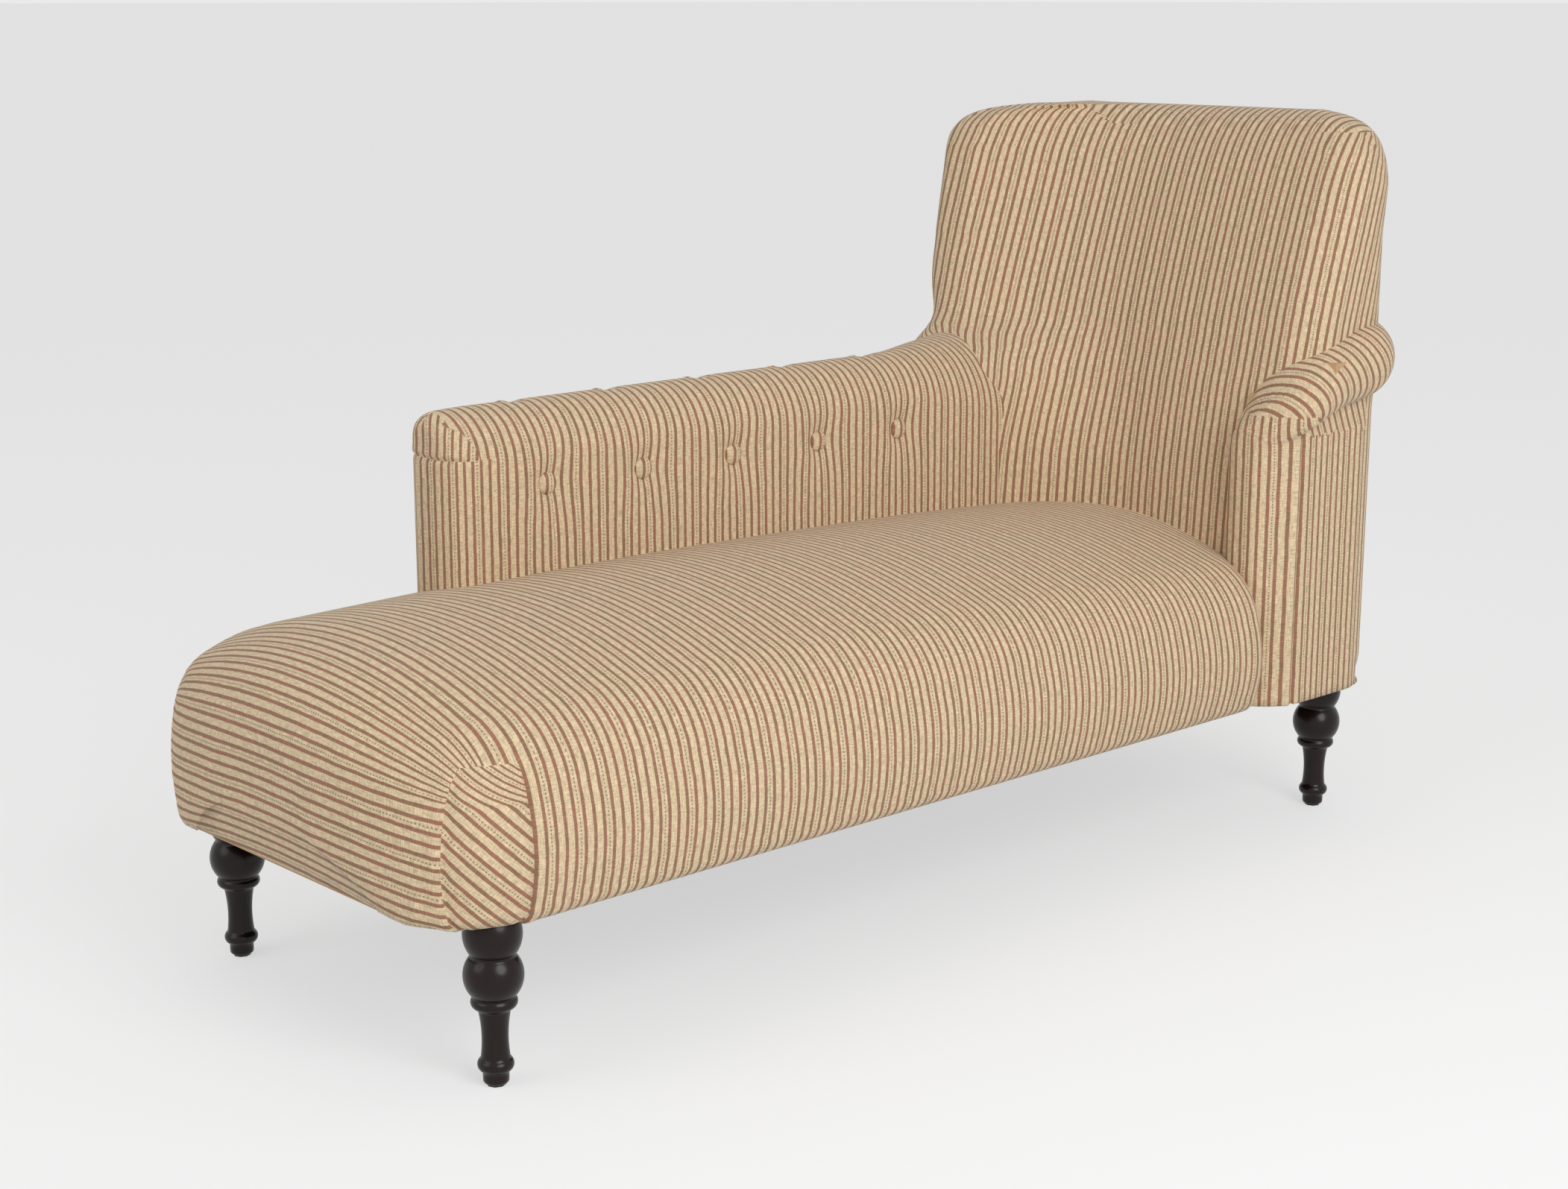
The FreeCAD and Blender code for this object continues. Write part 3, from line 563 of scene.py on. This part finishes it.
class CHAISE_OT_seat(bpy.types.Operator):
    """The long crowned seat bolster in one striped cover with pleated foot corners"""
    bl_idname = "chaise.seat"
    bl_label = "Seat"

    def execute(self, context):
        reach = SEAT_STATIONS[-1][0]
        distances = [SEAT_NOSE * (i / 20) ** 2 for i in range(20)]
        distances += [SEAT_NOSE + (reach - SEAT_NOSE) * i / 110 for i in range(111)]
        rows = [seat_row(d, *eased(SEAT_STATIONS, d)) for d in distances]
        bm = quilt(rows)
        close_ends(bm)
        foot_end = [v for v in bm.verts if v.co.y < FOOT_Y + 0.06 and v.co.z > 0.25]
        for _ in range(4):
            ease(bm, foot_end)
        refine(bm, lambda p: p.z < 400 and p.y < -640 and abs(p.x - MID_X) > 225, 2)
        cut(bm, (0, 0, SEAT_FOLD_TOP), (0, 0, 1), lambda c: c.y < -650)
        cut(bm, (0, SEAT_FOLD_Y, 0), (0, 1, 0), lambda c: c.z < SEAT_FOLD_TOP)
        for sign in (-1, 1):
            x = MID_X + sign * (SEAT_FOLD_X - MID_X)
            cut(bm, (x, 0, 0), (1, 0, 0), lambda c: c.z < SEAT_FOLD_TOP and c.y < SEAT_FOLD_Y)
        lay_cloth(bm, seat_rule)
        move(bm, seat_shape)
        tuck_under_arm(bm)
        finish_piece(bm, "seat_bolster", linen(),
                     ["seat_cover", "seat_pad", "seat_border_pad_left", "seat_border_pad_right",
                      "seat_border_pad_foot"])
        return {"FINISHED"}


# Long arm

def arm_row(y, inner, outer, mid, top, base):
    """One slice across the long arm: inside face, roll, outside panel and the cloth turned under."""
    c = math.sqrt(0.5)
    ri, ro = inner - mid, mid - outer
    a, b = (inner, HEM_Z), (inner, top - ri)
    m1, t = (mid + c * ri, top - ri + c * ri), (mid, top)
    m2, d = (mid - c * ro, top - ro + c * ro), (outer, top - ro)
    k, h, e = (outer, ARM_KNEE_Z), (min(outer, base + ARM_HIP), ARM_HIP_Z), (base, HEM_Z)
    seat_line = (inner, SEAT_LINE_Z)
    points = run(a, seat_line, 10) + run(seat_line, b, 18) + bend(b, m1, t, 14) + bend(t, m2, d, 14)
    lip = (base + LIP, HEM_Z)
    deep = (base + LIP + 2, UNDER_Z)
    points += run(d, k, 18) + run(k, h, 8) + run(h, e, 8) + run(e, lip, 2) + run(lip, deep, 1)
    points += run(deep, (inner - 4, UNDER_Z), 6)
    points += run((inner - 4, UNDER_Z), a, 1)
    return [(x, y, z) for x, z in points]


def arm_rows():
    rows = []
    for i in range(16):
        d = ARM_NOSE_LENGTH * (i / 16) ** 2
        din, dout, dtop = eased(ARM_NOSE, d)
        outer = ARM_CREST_X - ARM_ROLL + dout
        inner = ARM_IN - din
        rows.append(arm_row(ARM_FRONT + d, inner, outer, ARM_CREST_X, ARM_TOP - dtop, ARM_BASE + dout))
    start, stop = ARM_RUN[0][0], ARM_RUN[-1][0]
    count = 96
    for i in range(count + 1):
        y = start + (stop - start) * i / count
        outer, mid, top = eased(ARM_RUN, y)
        rows.append(arm_row(y, ARM_IN, outer, mid, top, ARM_BASE))
    return rows


def pulled(y, z):
    """Stripes lean towards each button."""
    shift = 0.0
    for row in BUTTON_ROW:
        dy = y - row
        shift += 0.34 * dy * math.exp(-(dy / 34) ** 2 - ((z - BUTTON_Z) / 44) ** 2)
    return shift


def arm_rule(centre, vert):
    """Upright on the inside and outside, over the roll, and round both corners of the front."""
    x, y, z = vert.co / MM
    in_nose = centre.y < ARM_TURN
    beyond_arch = ARM_ARCH_LEAN[1] * (centre.y - ARM_ARCH[1]) < ARM_ARCH_LEAN[0] * (centre.x - ARM_ARCH[0])
    in_cap = centre.x < ARM_ARCH[0] and centre.y < ARM_FRONT + 17
    if in_nose and (centre.z < ARM_SEAM_Z or beyond_arch or in_cap):
        # the inside cover turns both corners and its stripes stand upright across the front
        across = y if centre.x > ARM_CREST_X else 2 * ARM_FRONT - y
        step = 6 if centre.z > ARM_SEAM_Z else 0
        return (across + 0.9 * (x - ARM_IN) + step) * MM, z * MM
    lean = pulled(y, z) if x > -200 else 0.0
    return (y + lean) * MM, vert[vert_layer["around"]]


def arm_shape(co, normal):
    """Hollows at the buttons, the soft channel from crest to button, and the seams of the front."""
    shift = 0.0
    if co.x > -200 and co.z > 430 and co.y < 400:
        for row in BUTTON_ROW:
            dy = co.y - row
            if abs(dy) > 90:
                continue
            dz = co.z - BUTTON_Z
            r = math.hypot(dy, dz)
            shift -= 6.0 * bell(r, 18) + 2.0 * bell(r, 44)
            lean = 3.0 * math.sin(dz / 40.0)
            if dz > 0:
                shift -= 2.0 * bell(dy - lean, 14) * max(0.0, 1 - dz / 130)
            else:
                shift -= 1.6 * bell(dy - lean, 11) * max(0.0, 1 + dz / 100)
    if co.x <= -190 and co.z > 600 and co.y < 400:
        for row in BUTTON_ROW:
            shift -= 3.0 * bell(co.y - row, 12)
    if co.y < ARM_TURN + 4 and co.z > 570:
        if normal.y < -0.2:
            shift -= 2.4 * bell(co.z - ARM_SEAM_Z, 2.6)
            shift += 1.0 * bell(co.z - ARM_SEAM_Z - 6, 5)
    return shift


def near_tuft(p):
    if p.x < -200 or p.z < 500 or p.z > 615:
        return False
    return any(abs(p.y - row) < 42 for row in BUTTON_ROW)


class CHAISE_OT_long_arm(bpy.types.Operator):
    """The long low arm: stuffed roll, buttoned inside and plain outside"""
    bl_idname = "chaise.long_arm"
    bl_label = "Long arm"

    def execute(self, context):
        bm = quilt(arm_rows())
        close_ends(bm)
        vert_layer["around"] = bm.verts.layers.float["around"]
        refine(bm, near_tuft, 1)
        refine(bm, lambda p: p.y < ARM_FRONT + 60 and p.z > 570, 2)
        cut(bm, (0, 0, ARM_SEAM_Z), (0, 0, 1), lambda c: c.y < ARM_TURN)
        lean = (-ARM_ARCH_LEAN[0], ARM_ARCH_LEAN[1], 0)
        cut(bm, (*ARM_ARCH, 0), lean, lambda c: c.y < ARM_TURN and c.z > ARM_SEAM_Z)
        lay_cloth(bm, arm_rule)
        move(bm, arm_shape)
        finish_piece(bm, "long_arm_upholstery", linen(),
                     ["long_arm_cover", "long_arm_outside_panel", "long_arm_pad"])
        return {"FINISHED"}


# Short scroll arm

def scroll_row(y, inner, outer, mid, top, roll, drop):
    """One slice across the short arm: inside face, shoulder, overhanging roll and outside panel."""
    zc = top - roll
    c = math.sqrt(0.5)
    swing = math.asin(min((outer - mid) / roll, 1.0))
    half = 0.5 * (swing + math.pi / 2)
    a, b = (inner, HEM_Z), (inner, top - drop)
    m1, t = (mid - c * (mid - inner), top - drop + c * drop), (mid, top)
    m2, o = (mid + c * roll, zc + c * roll), (mid + roll, zc)
    m3 = (mid + roll * math.sin(half), zc - roll * math.cos(half))
    u, e = (outer, zc - roll * math.cos(swing)), (outer, HEM_Z)
    points = run(a, b, 34) + bend(b, m1, t, 14) + bend(t, m2, o, 10) + bend(o, m3, u, 10) + run(u, e, 34)
    lip = (outer - LIP * min(1.0, (outer - inner) / 100), HEM_Z)
    deep = (lip[0] - 1, UNDER_Z)
    points += run(e, lip, 2) + run(lip, deep, 1) + run(deep, (inner + 4, UNDER_Z), 3)
    points += run((inner + 4, UNDER_Z), a, 1)
    return [(x, y, z) for x, z in points]


def scroll_rule(centre, vert):
    """Slanting round the roll, upright on the front and on the outside panel."""
    x, y, z = vert.co / MM
    d = y - SCROLL_FRONT
    outside = centre.x > 284 and centre.z < 560 and centre.y > SCROLL_FOLD
    if outside:
        return y * MM, z * MM
    if centre.y < SCROLL_FRONT + SCROLL_BULLNOSE and centre.z < 590:
        return (x + 0.35 * d) * MM, z * MM
    along = y * math.cos(SCROLL_TILT) + z * math.sin(SCROLL_TILT)
    return along * MM, vert[vert_layer["scroll"]]


def scroll_shape(co, normal):
    """Fan pleats under the front of the roll and the fold where the outside panel starts."""
    shift = 0.0
    if co.y < 690 and 560 < co.z < 660:
        dx, dz = co.x - SCROLL_FAN[0], co.z - SCROLL_FAN[1]
        angle = math.atan2(dz, dx)
        r = math.hypot(dx, dz)
        if 6 < r < 46 and normal.y < -0.15:
            shift -= 1.6 * bell((angle * 3.2) % 1.0 - 0.5, 0.18)
    if co.z < 560 and co.x > 284:
        shift -= 3.0 * bell(co.y - SCROLL_FOLD, 3.0)
        shift += 1.2 * bell(co.y - SCROLL_FOLD + 8, 6.0)
    return shift


class CHAISE_OT_short_arm(bpy.types.Operator):
    """The short scroll arm: bullnose front and an overhanging roll that sweeps up to the back"""
    bl_idname = "chaise.short_arm"
    bl_label = "Short arm"

    def execute(self, context):
        # it ends inside the back
        reach = SCROLL_STATIONS[-1][0] - 9
        distances = [SCROLL_BULLNOSE * (i / 18) ** 2 for i in range(18)]
        distances += [SCROLL_BULLNOSE + (reach - SCROLL_BULLNOSE) * i / 34 for i in range(35)]
        rows = [scroll_row(SCROLL_FRONT + d, *eased(SCROLL_STATIONS, d)) for d in distances]
        bm = quilt(rows)
        close_ends(bm)
        vert_layer["scroll"] = bm.verts.layers.float["around"]
        front = [v for v in bm.verts if v.co.y < (SCROLL_FRONT + 40) * MM and v.co.z > 0.2]
        for _ in range(3):
            ease(bm, front)
        refine(bm, lambda p: p.y < 700 and 540 < p.z < 670 and p.x > 220, 1)
        refine(bm, lambda p: p.x > 280 and abs(p.y - SCROLL_FOLD + 2) < 14 and p.z < 570, 2)
        cut(bm, (0, SCROLL_FOLD, 0), (0, 1, 0), lambda c: c.x > 270 and c.z < 570)
        lay_cloth(bm, scroll_rule)
        move(bm, scroll_shape)
        finish_piece(bm, "short_arm_upholstery", linen(),
                     ["short_arm_cover", "short_arm_outside_panel", "short_arm_pad"])
        return {"FINISHED"}


# Back

def back_row(z, yf, x_flat, x_wing, y_wing, rear, left, right):
    """One level slice: rear, near side, flat front, hollow, wing and far side, with rounded corners."""
    depth = rear - yf
    size = min(1.0, depth / 175)
    rr, rf, rt = min(BACK_REAR_R, 0.50 * depth), min(BACK_FRONT_R, 0.40 * depth), BACK_WING_R * size
    # the wing's outer edge falls away where it meets the arm, and the side stays inside the short arm
    wing = left + 34 * bell(z - 655, 55)
    right -= 3.5 * max(0.0, min(1.0, (640 - z) / 60))
    c = 1 - math.sqrt(0.5)
    p1 = (x_wing, y_wing + 8 * size)
    dx, dy = x_flat - p1[0], yf - p1[1]
    big = (dx * dx + dy * dy) / (2 * dy)
    half = 0.5 * math.asin(dx / big)
    mid = (x_flat - big * math.sin(half), yf - big * (1 - math.cos(half)))
    points = run((left + rr, rear), (right - rr, rear), 30)
    points += bend((right - rr, rear), (right - c * rr, rear - c * rr), (right, rear - rr), 10)
    points += run((right, rear - rr), (right, yf + rf), 6)
    points += bend((right, yf + rf), (right - c * rf, yf + c * rf), (right - rf, yf), 10)
    points += run((right - rf, yf), (x_flat, yf), 22)
    points += bend((x_flat, yf), mid, p1, 26)
    points += run(p1, (wing + rt, y_wing), 5)
    points += bend((wing + rt, y_wing), (wing + c * rt, y_wing + c * rt), (wing, y_wing + rt), 10)
    points += run((wing, y_wing + rt), (left, rear - rr), 14)
    points += bend((left, rear - rr), (left + c * rr, rear - c * rr), (left + rr, rear), 10)
    return [(x, y, z) for x, y in points]


def back_rule(centre, vert):
    """Upright on every side and on over the crest."""
    x, y, z = vert.co / MM
    if centre.y > REAR_FACE or (centre.z > 960 and centre.y > 700):
        return x * MM, (z - y) * MM
    near_side = centre.x > 275 and centre.z < 600
    far_side = centre.x < -280 and centre.y > SIDE_SEAM_Y
    if near_side or far_side:
        return y * MM, z * MM
    return vert[vert_layer["back"]], (z + y) * MM


def back_shape(co, normal):
    """The hem's roll and the seams of the outside panel and top corners."""
    shift = 0.0
    if 190 < co.z < 233:
        # the bottom edge is rolled under, most at the rear corners
        rear = max(0.0, min(1.0, (co.y - 640) / 160))
        shift -= 3.0 * ((233 - co.z) / 45) ** 2 * (1 + 3 * rear)
    if normal.y > 0.6:
        edge = min(abs(co.x - PANEL_LEFT), abs(co.x - PANEL_RIGHT))
        if co.z < PANEL_TOP + 2:
            shift -= 2.5 * bell(edge, 3.0)
        if PANEL_LEFT < co.x < PANEL_RIGHT:
            shift -= 2.5 * bell(co.z - PANEL_TOP, 3.0)
    for seam in BACK_SEAMS:
        shift -= 2.4 * bell(along_line(co, seam), 3.0)
    return shift


class CHAISE_OT_back(bpy.types.Operator):
    """The winged back, its cover drawn over the crest, and the flat outside panel"""
    bl_idname = "chaise.back"
    bl_label = "Back"

    def execute(self, context):
        heights = [HEM_Z + (BACK_CREST - HEM_Z) * i / 80 for i in range(80)]
        heights += [BACK_CREST + (BACK_TOP - BACK_CREST) * math.sin(math.pi / 2 * i / 16) for i in range(17)]
        rows = [back_row(z, *eased(BACK_STATIONS, z)) for z in heights]
        under = [[(x * 0.94, y + (700 - y) * 0.12, z) for x, y, z in rows[0]]]
        deep = [[(x * 0.99, y + (700 - y) * 0.01, UNDER_Z) for x, y, z in under[0]]]
        bm = quilt(deep + under + rows)
        close_ends(bm)
        around = bm.verts.layers.float["around"]
        vert_layer["back"] = around
        crest = [v for v in bm.verts if v.co.z > 0.93]
        for _ in range(6):
            ease(bm, crest)
        wing = [v for v in bm.verts if 0.56 < v.co.z < 0.80 and v.co.x < -0.02 and v.co.y < 0.62]
        for _ in range(8):
            ease(bm, wing)
        align_back(bm, around)
        cut(bm, (PANEL_LEFT, 0, 0), (1, 0, 0), lambda c: c.y > REAR_FACE)
        cut(bm, (PANEL_RIGHT, 0, 0), (1, 0, 0), lambda c: c.y > REAR_FACE)
        cut(bm, (0, SIDE_SEAM_Y, 0), (0, 1, 0), lambda c: c.x < -280)
        lay_cloth(bm, back_rule)
        move(bm, back_shape)
        finish_piece(bm, "back_upholstery", linen(),
                     ["inside_back_cover", "outside_back_panel", "back_pad", "back_wing_pad",
                      "back_side_pad_left", "back_side_pad_right", "back_outside_wadding"])
        return {"FINISHED"}


def align_back(bm, around):
    """Count the stripes of each height from one line on the flat front, so that they stand upright."""
    line = 0.12
    levels = {}
    for v in bm.verts:
        key = round(v.co.z, 4)
        if abs(v.co.x - line) < 0.02 and v.co.y < 0.78:
            levels.setdefault(key, []).append((abs(v.co.x - line), v[around], v.co.x))
    offsets = {key: min(found) for key, found in levels.items()}
    keys = sorted(offsets)
    for v in bm.verts:
        key = min(keys, key=lambda k: abs(k - v.co.z))
        _, length, x = offsets[key]
        v[around] = -(v[around] - length) + x


# Buttons and legs

def turn_profile(bm, profile, steps):
    """Turn a profile of radius and height in millimetres about the upright axis."""
    verts = [bm.verts.new((r * MM, 0, z * MM)) for r, z in profile]
    edges = [bm.edges.new(pair) for pair in zip(verts, verts[1:])]
    bmesh.ops.spin(bm, geom=verts + edges, axis=(0, 0, 1), cent=(0, 0, 0), steps=steps,
                   angle=math.tau, use_merge=True)


def dome(bm, centre, axis, radius, height):
    """A cloth-covered button: a low dome with a rolled edge, spun from its profile."""
    profile = [(0.0, height), (0.35, 0.97 * height), (0.65, 0.82 * height), (0.85, 0.58 * height),
               (0.97, 0.30 * height), (1.0, 0.10 * height), (0.94, -0.12 * height), (0.75, -0.25 * height)]
    turn = Vector((0, 0, 1)).rotation_difference(Vector(axis)).to_matrix()
    turn_profile(bm, [(r * radius, z) for r, z in profile], 28)
    new = [v for v in bm.verts if not v.tag]
    for v in new:
        v.co = turn @ v.co + Vector(centre) * MM
        v.tag = True


def buttons(name, centres, axis, replaced):
    """One row of covered buttons as one piece."""
    bm = bmesh.new()
    for centre in centres:
        dome(bm, centre, axis, BUTTON_R, BUTTON_DOME)
    bmesh.ops.remove_doubles(bm, verts=bm.verts, dist=1e-6)
    bmesh.ops.recalc_face_normals(bm, faces=bm.faces)
    lay_cloth(bm, lambda centre, vert: (vert.co.y + 0.003, vert.co.z))
    finish_piece(bm, name, linen(), replaced)


class CHAISE_OT_buttons(bpy.types.Operator):
    """Covered buttons: one row in the hollows of the long arm, one just outside its crest"""
    bl_idname = "chaise.buttons"
    bl_label = "Buttons"

    def execute(self, context):
        face = [(ARM_IN - 6.5, y, BUTTON_Z) for y in BUTTON_ROW]
        buttons("long_arm_inside_buttons", face, (1, 0, 0), ["long_arm_face_buttons"])
        lean = (-math.sin(CREST_LEAN), 0, math.cos(CREST_LEAN))
        sunk = ARM_ROLL - 1.5
        axis_z = ARM_TOP - ARM_ROLL
        crest = [(ARM_CREST_X + sunk * lean[0], y, axis_z + sunk * lean[2]) for y in BUTTON_ROW]
        buttons("long_arm_outside_buttons", crest, lean, ["long_arm_crest_buttons"])
        return {"FINISHED"}


def leg_profile():
    """Foot, ring, waisted column, collar, ball, bun and tenon, bottom to top, in millimetres."""
    foot = run((0.0, 3.4), (13.2, 3.4), 2) + run((13.2, 3.4), (14.2, 5.0), 1)
    foot += run((14.2, 5.0), (14.4, 16.0), 3)
    ring = bend((14.4, 16), (20, 23.5), (16.2, 31), 10)
    column = bend((16.2, 31), (14.6, 58), (18.2, 88), 16)
    collar = bend((18.2, 88), (25.5, 94), (22.8, 101), 8)
    ball = bend((22.8, 101), (33, 124.5), (24.2, 148), 20)
    bun = bend((24.2, 148), (32.2, 168), (24, 196), 16) + run((24, 196), (14, 196), 2)
    tenon = run((14, 196), (14, 252), 3) + run((14, 252), (0, 252), 2) + [(0.0, 252.0)]
    return foot + ring + column + collar + ball + bun + tenon


class CHAISE_OT_legs(bpy.types.Operator):
    """Four turned legs in near-black lacquer"""
    bl_idname = "chaise.legs"
    bl_label = "Legs"

    def execute(self, context):
        material = bpy.data.materials["lacquered_turned_beech"]
        for node in ("leg_foot_left", "leg_foot_right", "leg_rear_left", "leg_rear_right"):
            low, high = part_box(node)
            bm = bmesh.new()
            turn_profile(bm, leg_profile(), 64)
            bmesh.ops.remove_doubles(bm, verts=bm.verts, dist=1e-6)
            bmesh.ops.recalc_face_normals(bm, faces=bm.faces)
            shift = Matrix.Translation(((low.x + high.x) / 2, (low.y + high.y) / 2, 0))
            bmesh.ops.transform(bm, matrix=shift, verts=bm.verts)
            finish_piece(bm, node.replace("leg_", "turned_leg_"), material, [node])
        return {"FINISHED"}


# Materials of the inner pieces

class CHAISE_OT_materials(bpy.types.Operator):
    """Linen, lacquered and raw beech, jute, lining and felt"""
    bl_idname = "chaise.materials"
    bl_label = "Materials"

    def execute(self, context):
        woods = context.scene.chaise_wood
        striped_linen()
        # lacquer over black-brown stain: deep, with soft small reflections
        lacquer = wood("lacquered_turned_beech", woods.stain, 0.3, 0.12, 0.35)
        lacquer.node_tree.nodes["Principled BSDF"].inputs["Specular IOR Level"].default_value = 0.22
        raw = wood("sawn_beech", woods.raw, 0.75, 0.0, 0.25)
        jute = woven("jute_webbing", "A98B5D", 3.0 * MM)
        lining = woven("black_cambric", "1B1B1D", 1.2 * MM)
        glide = woven("moulded_glide", "20201F", 4.0 * MM, 0.5)
        pad = woven("cotton_felt", "D8D2C4", 5.0 * MM)
        for name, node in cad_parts.items():
            material = raw
            if "webbing" in name or "hessian" in name:
                material = jute
            elif "dust" in name:
                material = lining
            elif "glide" in name:
                material = glide
            elif "pad" in name or "wadding" in name:
                material = pad
            elif "cover" in name or "panel" in name or "button" in name:
                material = linen()
            node.data.materials.clear()
            node.data.materials.append(material)
        return {"FINISHED"}


# Stage

def area_lamp(name, place, target, size, power):
    """A round soft lamp aimed at a point."""
    lamp = bpy.data.lights.new(name, "AREA")
    lamp.shape = "DISK"
    lamp.size = size
    lamp.energy = power
    holder = bpy.data.objects.new(name, lamp)
    holder.location = place
    holder.rotation_euler = (Vector(target) - Vector(place)).to_track_quat("-Z", "Y").to_euler()
    bpy.context.scene.collection.objects.link(holder)


def studio_floor():
    """Pale floor that shows nearly white to the camera and keeps the object's soft shadow."""
    settings = bpy.context.scene.chaise_stage
    bm = bmesh.new()
    bmesh.ops.create_grid(bm, x_segments=1, y_segments=1, size=400.0)
    mesh = bpy.data.meshes.new("studio_floor")
    bm.to_mesh(mesh)
    bm.free()
    floor = bpy.data.objects.new("studio_floor", mesh)
    bpy.context.scene.collection.objects.link(floor)
    material, tree, shader = new_material("painted_studio_floor")
    shader.inputs["Base Color"].default_value = linear(settings.floor)
    shader.inputs["Roughness"].default_value = 0.9
    path = add(tree, "ShaderNodeLightPath").outputs
    seen = calc(tree, "MAXIMUM", path["Is Camera Ray"], path["Is Glossy Ray"])
    glow = add(tree, "ShaderNodeEmission", Color=linear("FFFFFF"), Strength=0.57)
    matt = add(tree, "ShaderNodeBsdfDiffuse", Color=linear("A2A2A2"))
    both = add(tree, "ShaderNodeAddShader", i0=matt.outputs[0], i1=glow.outputs[0])
    pick = add(tree, "ShaderNodeMixShader", i0=seen, i1=shader.outputs[0], i2=both.outputs[0])
    tree.links.new(pick.outputs[0], tree.nodes["Material Output"].inputs[0])
    mesh.materials.append(material)


class CHAISE_OT_stage(bpy.types.Operator):
    """Pale floor, soft lamps, white surround and the camera"""
    bl_idname = "chaise.stage"
    bl_label = "Stage"

    def execute(self, context):
        scene = context.scene
        scene.view_settings.view_transform = "Standard"
        studio_floor()
        world = bpy.data.worlds.new("studio_surround")
        world.use_nodes = True
        tree = world.node_tree
        path = add(tree, "ShaderNodeLightPath").outputs
        seen = calc(tree, "MAXIMUM", path["Is Camera Ray"], path["Is Glossy Ray"])
        seen = calc(tree, "MAXIMUM", seen, path["Is Transmission Ray"])
        strength = add(tree, "ShaderNodeMapRange", i0=seen, i1=0.0, i2=1.0, i3=0.62, i4=1.0).outputs[0]
        tree.links.new(strength, tree.nodes["Background"].inputs[1])
        tree.nodes["Background"].inputs[0].default_value = linear("EAEAEA")
        scene.world = world
        power = scene.chaise_stage.lamp_power
        area_lamp("key_lamp", (3.3, -0.7, 2.1), (0, 0.1, 0.4), 2.4, power)
        area_lamp("fill_lamp", (-0.6, -3.6, 2.2), (0, 0, 0.4), 2.6, 0.35 * power)
        camera = bpy.data.cameras.new("photo_camera")
        camera.sensor_width = SENSOR
        camera.lens = SENSOR * FOCAL_SHARE
        camera.clip_end = 1000
        holder = bpy.data.objects.new("photo_camera", camera)
        holder.location = CAMERA
        yaw, pitch = math.radians(CAMERA_YAW), math.radians(CAMERA_PITCH)
        level = math.cos(pitch)
        forward = Vector((-math.sin(yaw) * level, math.cos(yaw) * level, -math.sin(pitch)))
        holder.rotation_euler = forward.to_track_quat("-Z", "Y").to_euler()
        scene.collection.objects.link(holder)
        scene.camera = holder
        return {"FINISHED"}


class CHAISE_PT_panel(bpy.types.Panel):
    bl_idname = "CHAISE_PT_panel"
    bl_label = "Chaise longue"
    bl_space_type = "VIEW_3D"
    bl_region_type = "UI"
    bl_category = "Chaise"

    def draw(self, context):
        for settings in (context.scene.chaise_fabric, context.scene.chaise_wood, context.scene.chaise_stage):
            for key in settings.bl_rna.properties.keys():
                if key not in ("rna_type", "name"):
                    self.layout.prop(settings, key)
        for step in STEPS:
            self.layout.operator(step.bl_idname)


STEPS = [CHAISE_OT_materials, CHAISE_OT_seat, CHAISE_OT_long_arm, CHAISE_OT_short_arm, CHAISE_OT_back,
         CHAISE_OT_buttons, CHAISE_OT_legs, CHAISE_OT_stage]
CLASSES = [FabricSettings, WoodSettings, StageSettings, *STEPS, CHAISE_PT_panel]


def register():
    for cls in CLASSES:
        bpy.utils.register_class(cls)
    bpy.types.Scene.chaise_fabric = bpy.props.PointerProperty(type=FabricSettings)
    bpy.types.Scene.chaise_wood = bpy.props.PointerProperty(type=WoodSettings)
    bpy.types.Scene.chaise_stage = bpy.props.PointerProperty(type=StageSettings)


def unregister():
    for key in ("chaise_fabric", "chaise_wood", "chaise_stage"):
        delattr(bpy.types.Scene, key)
    for cls in reversed(CLASSES):
        bpy.utils.unregister_class(cls)


def main():
    register()
    for step in STEPS:
        group, name = step.bl_idname.split(".")
        getattr(getattr(bpy.ops, group), name)()


if __name__ == "__main__":
    main()
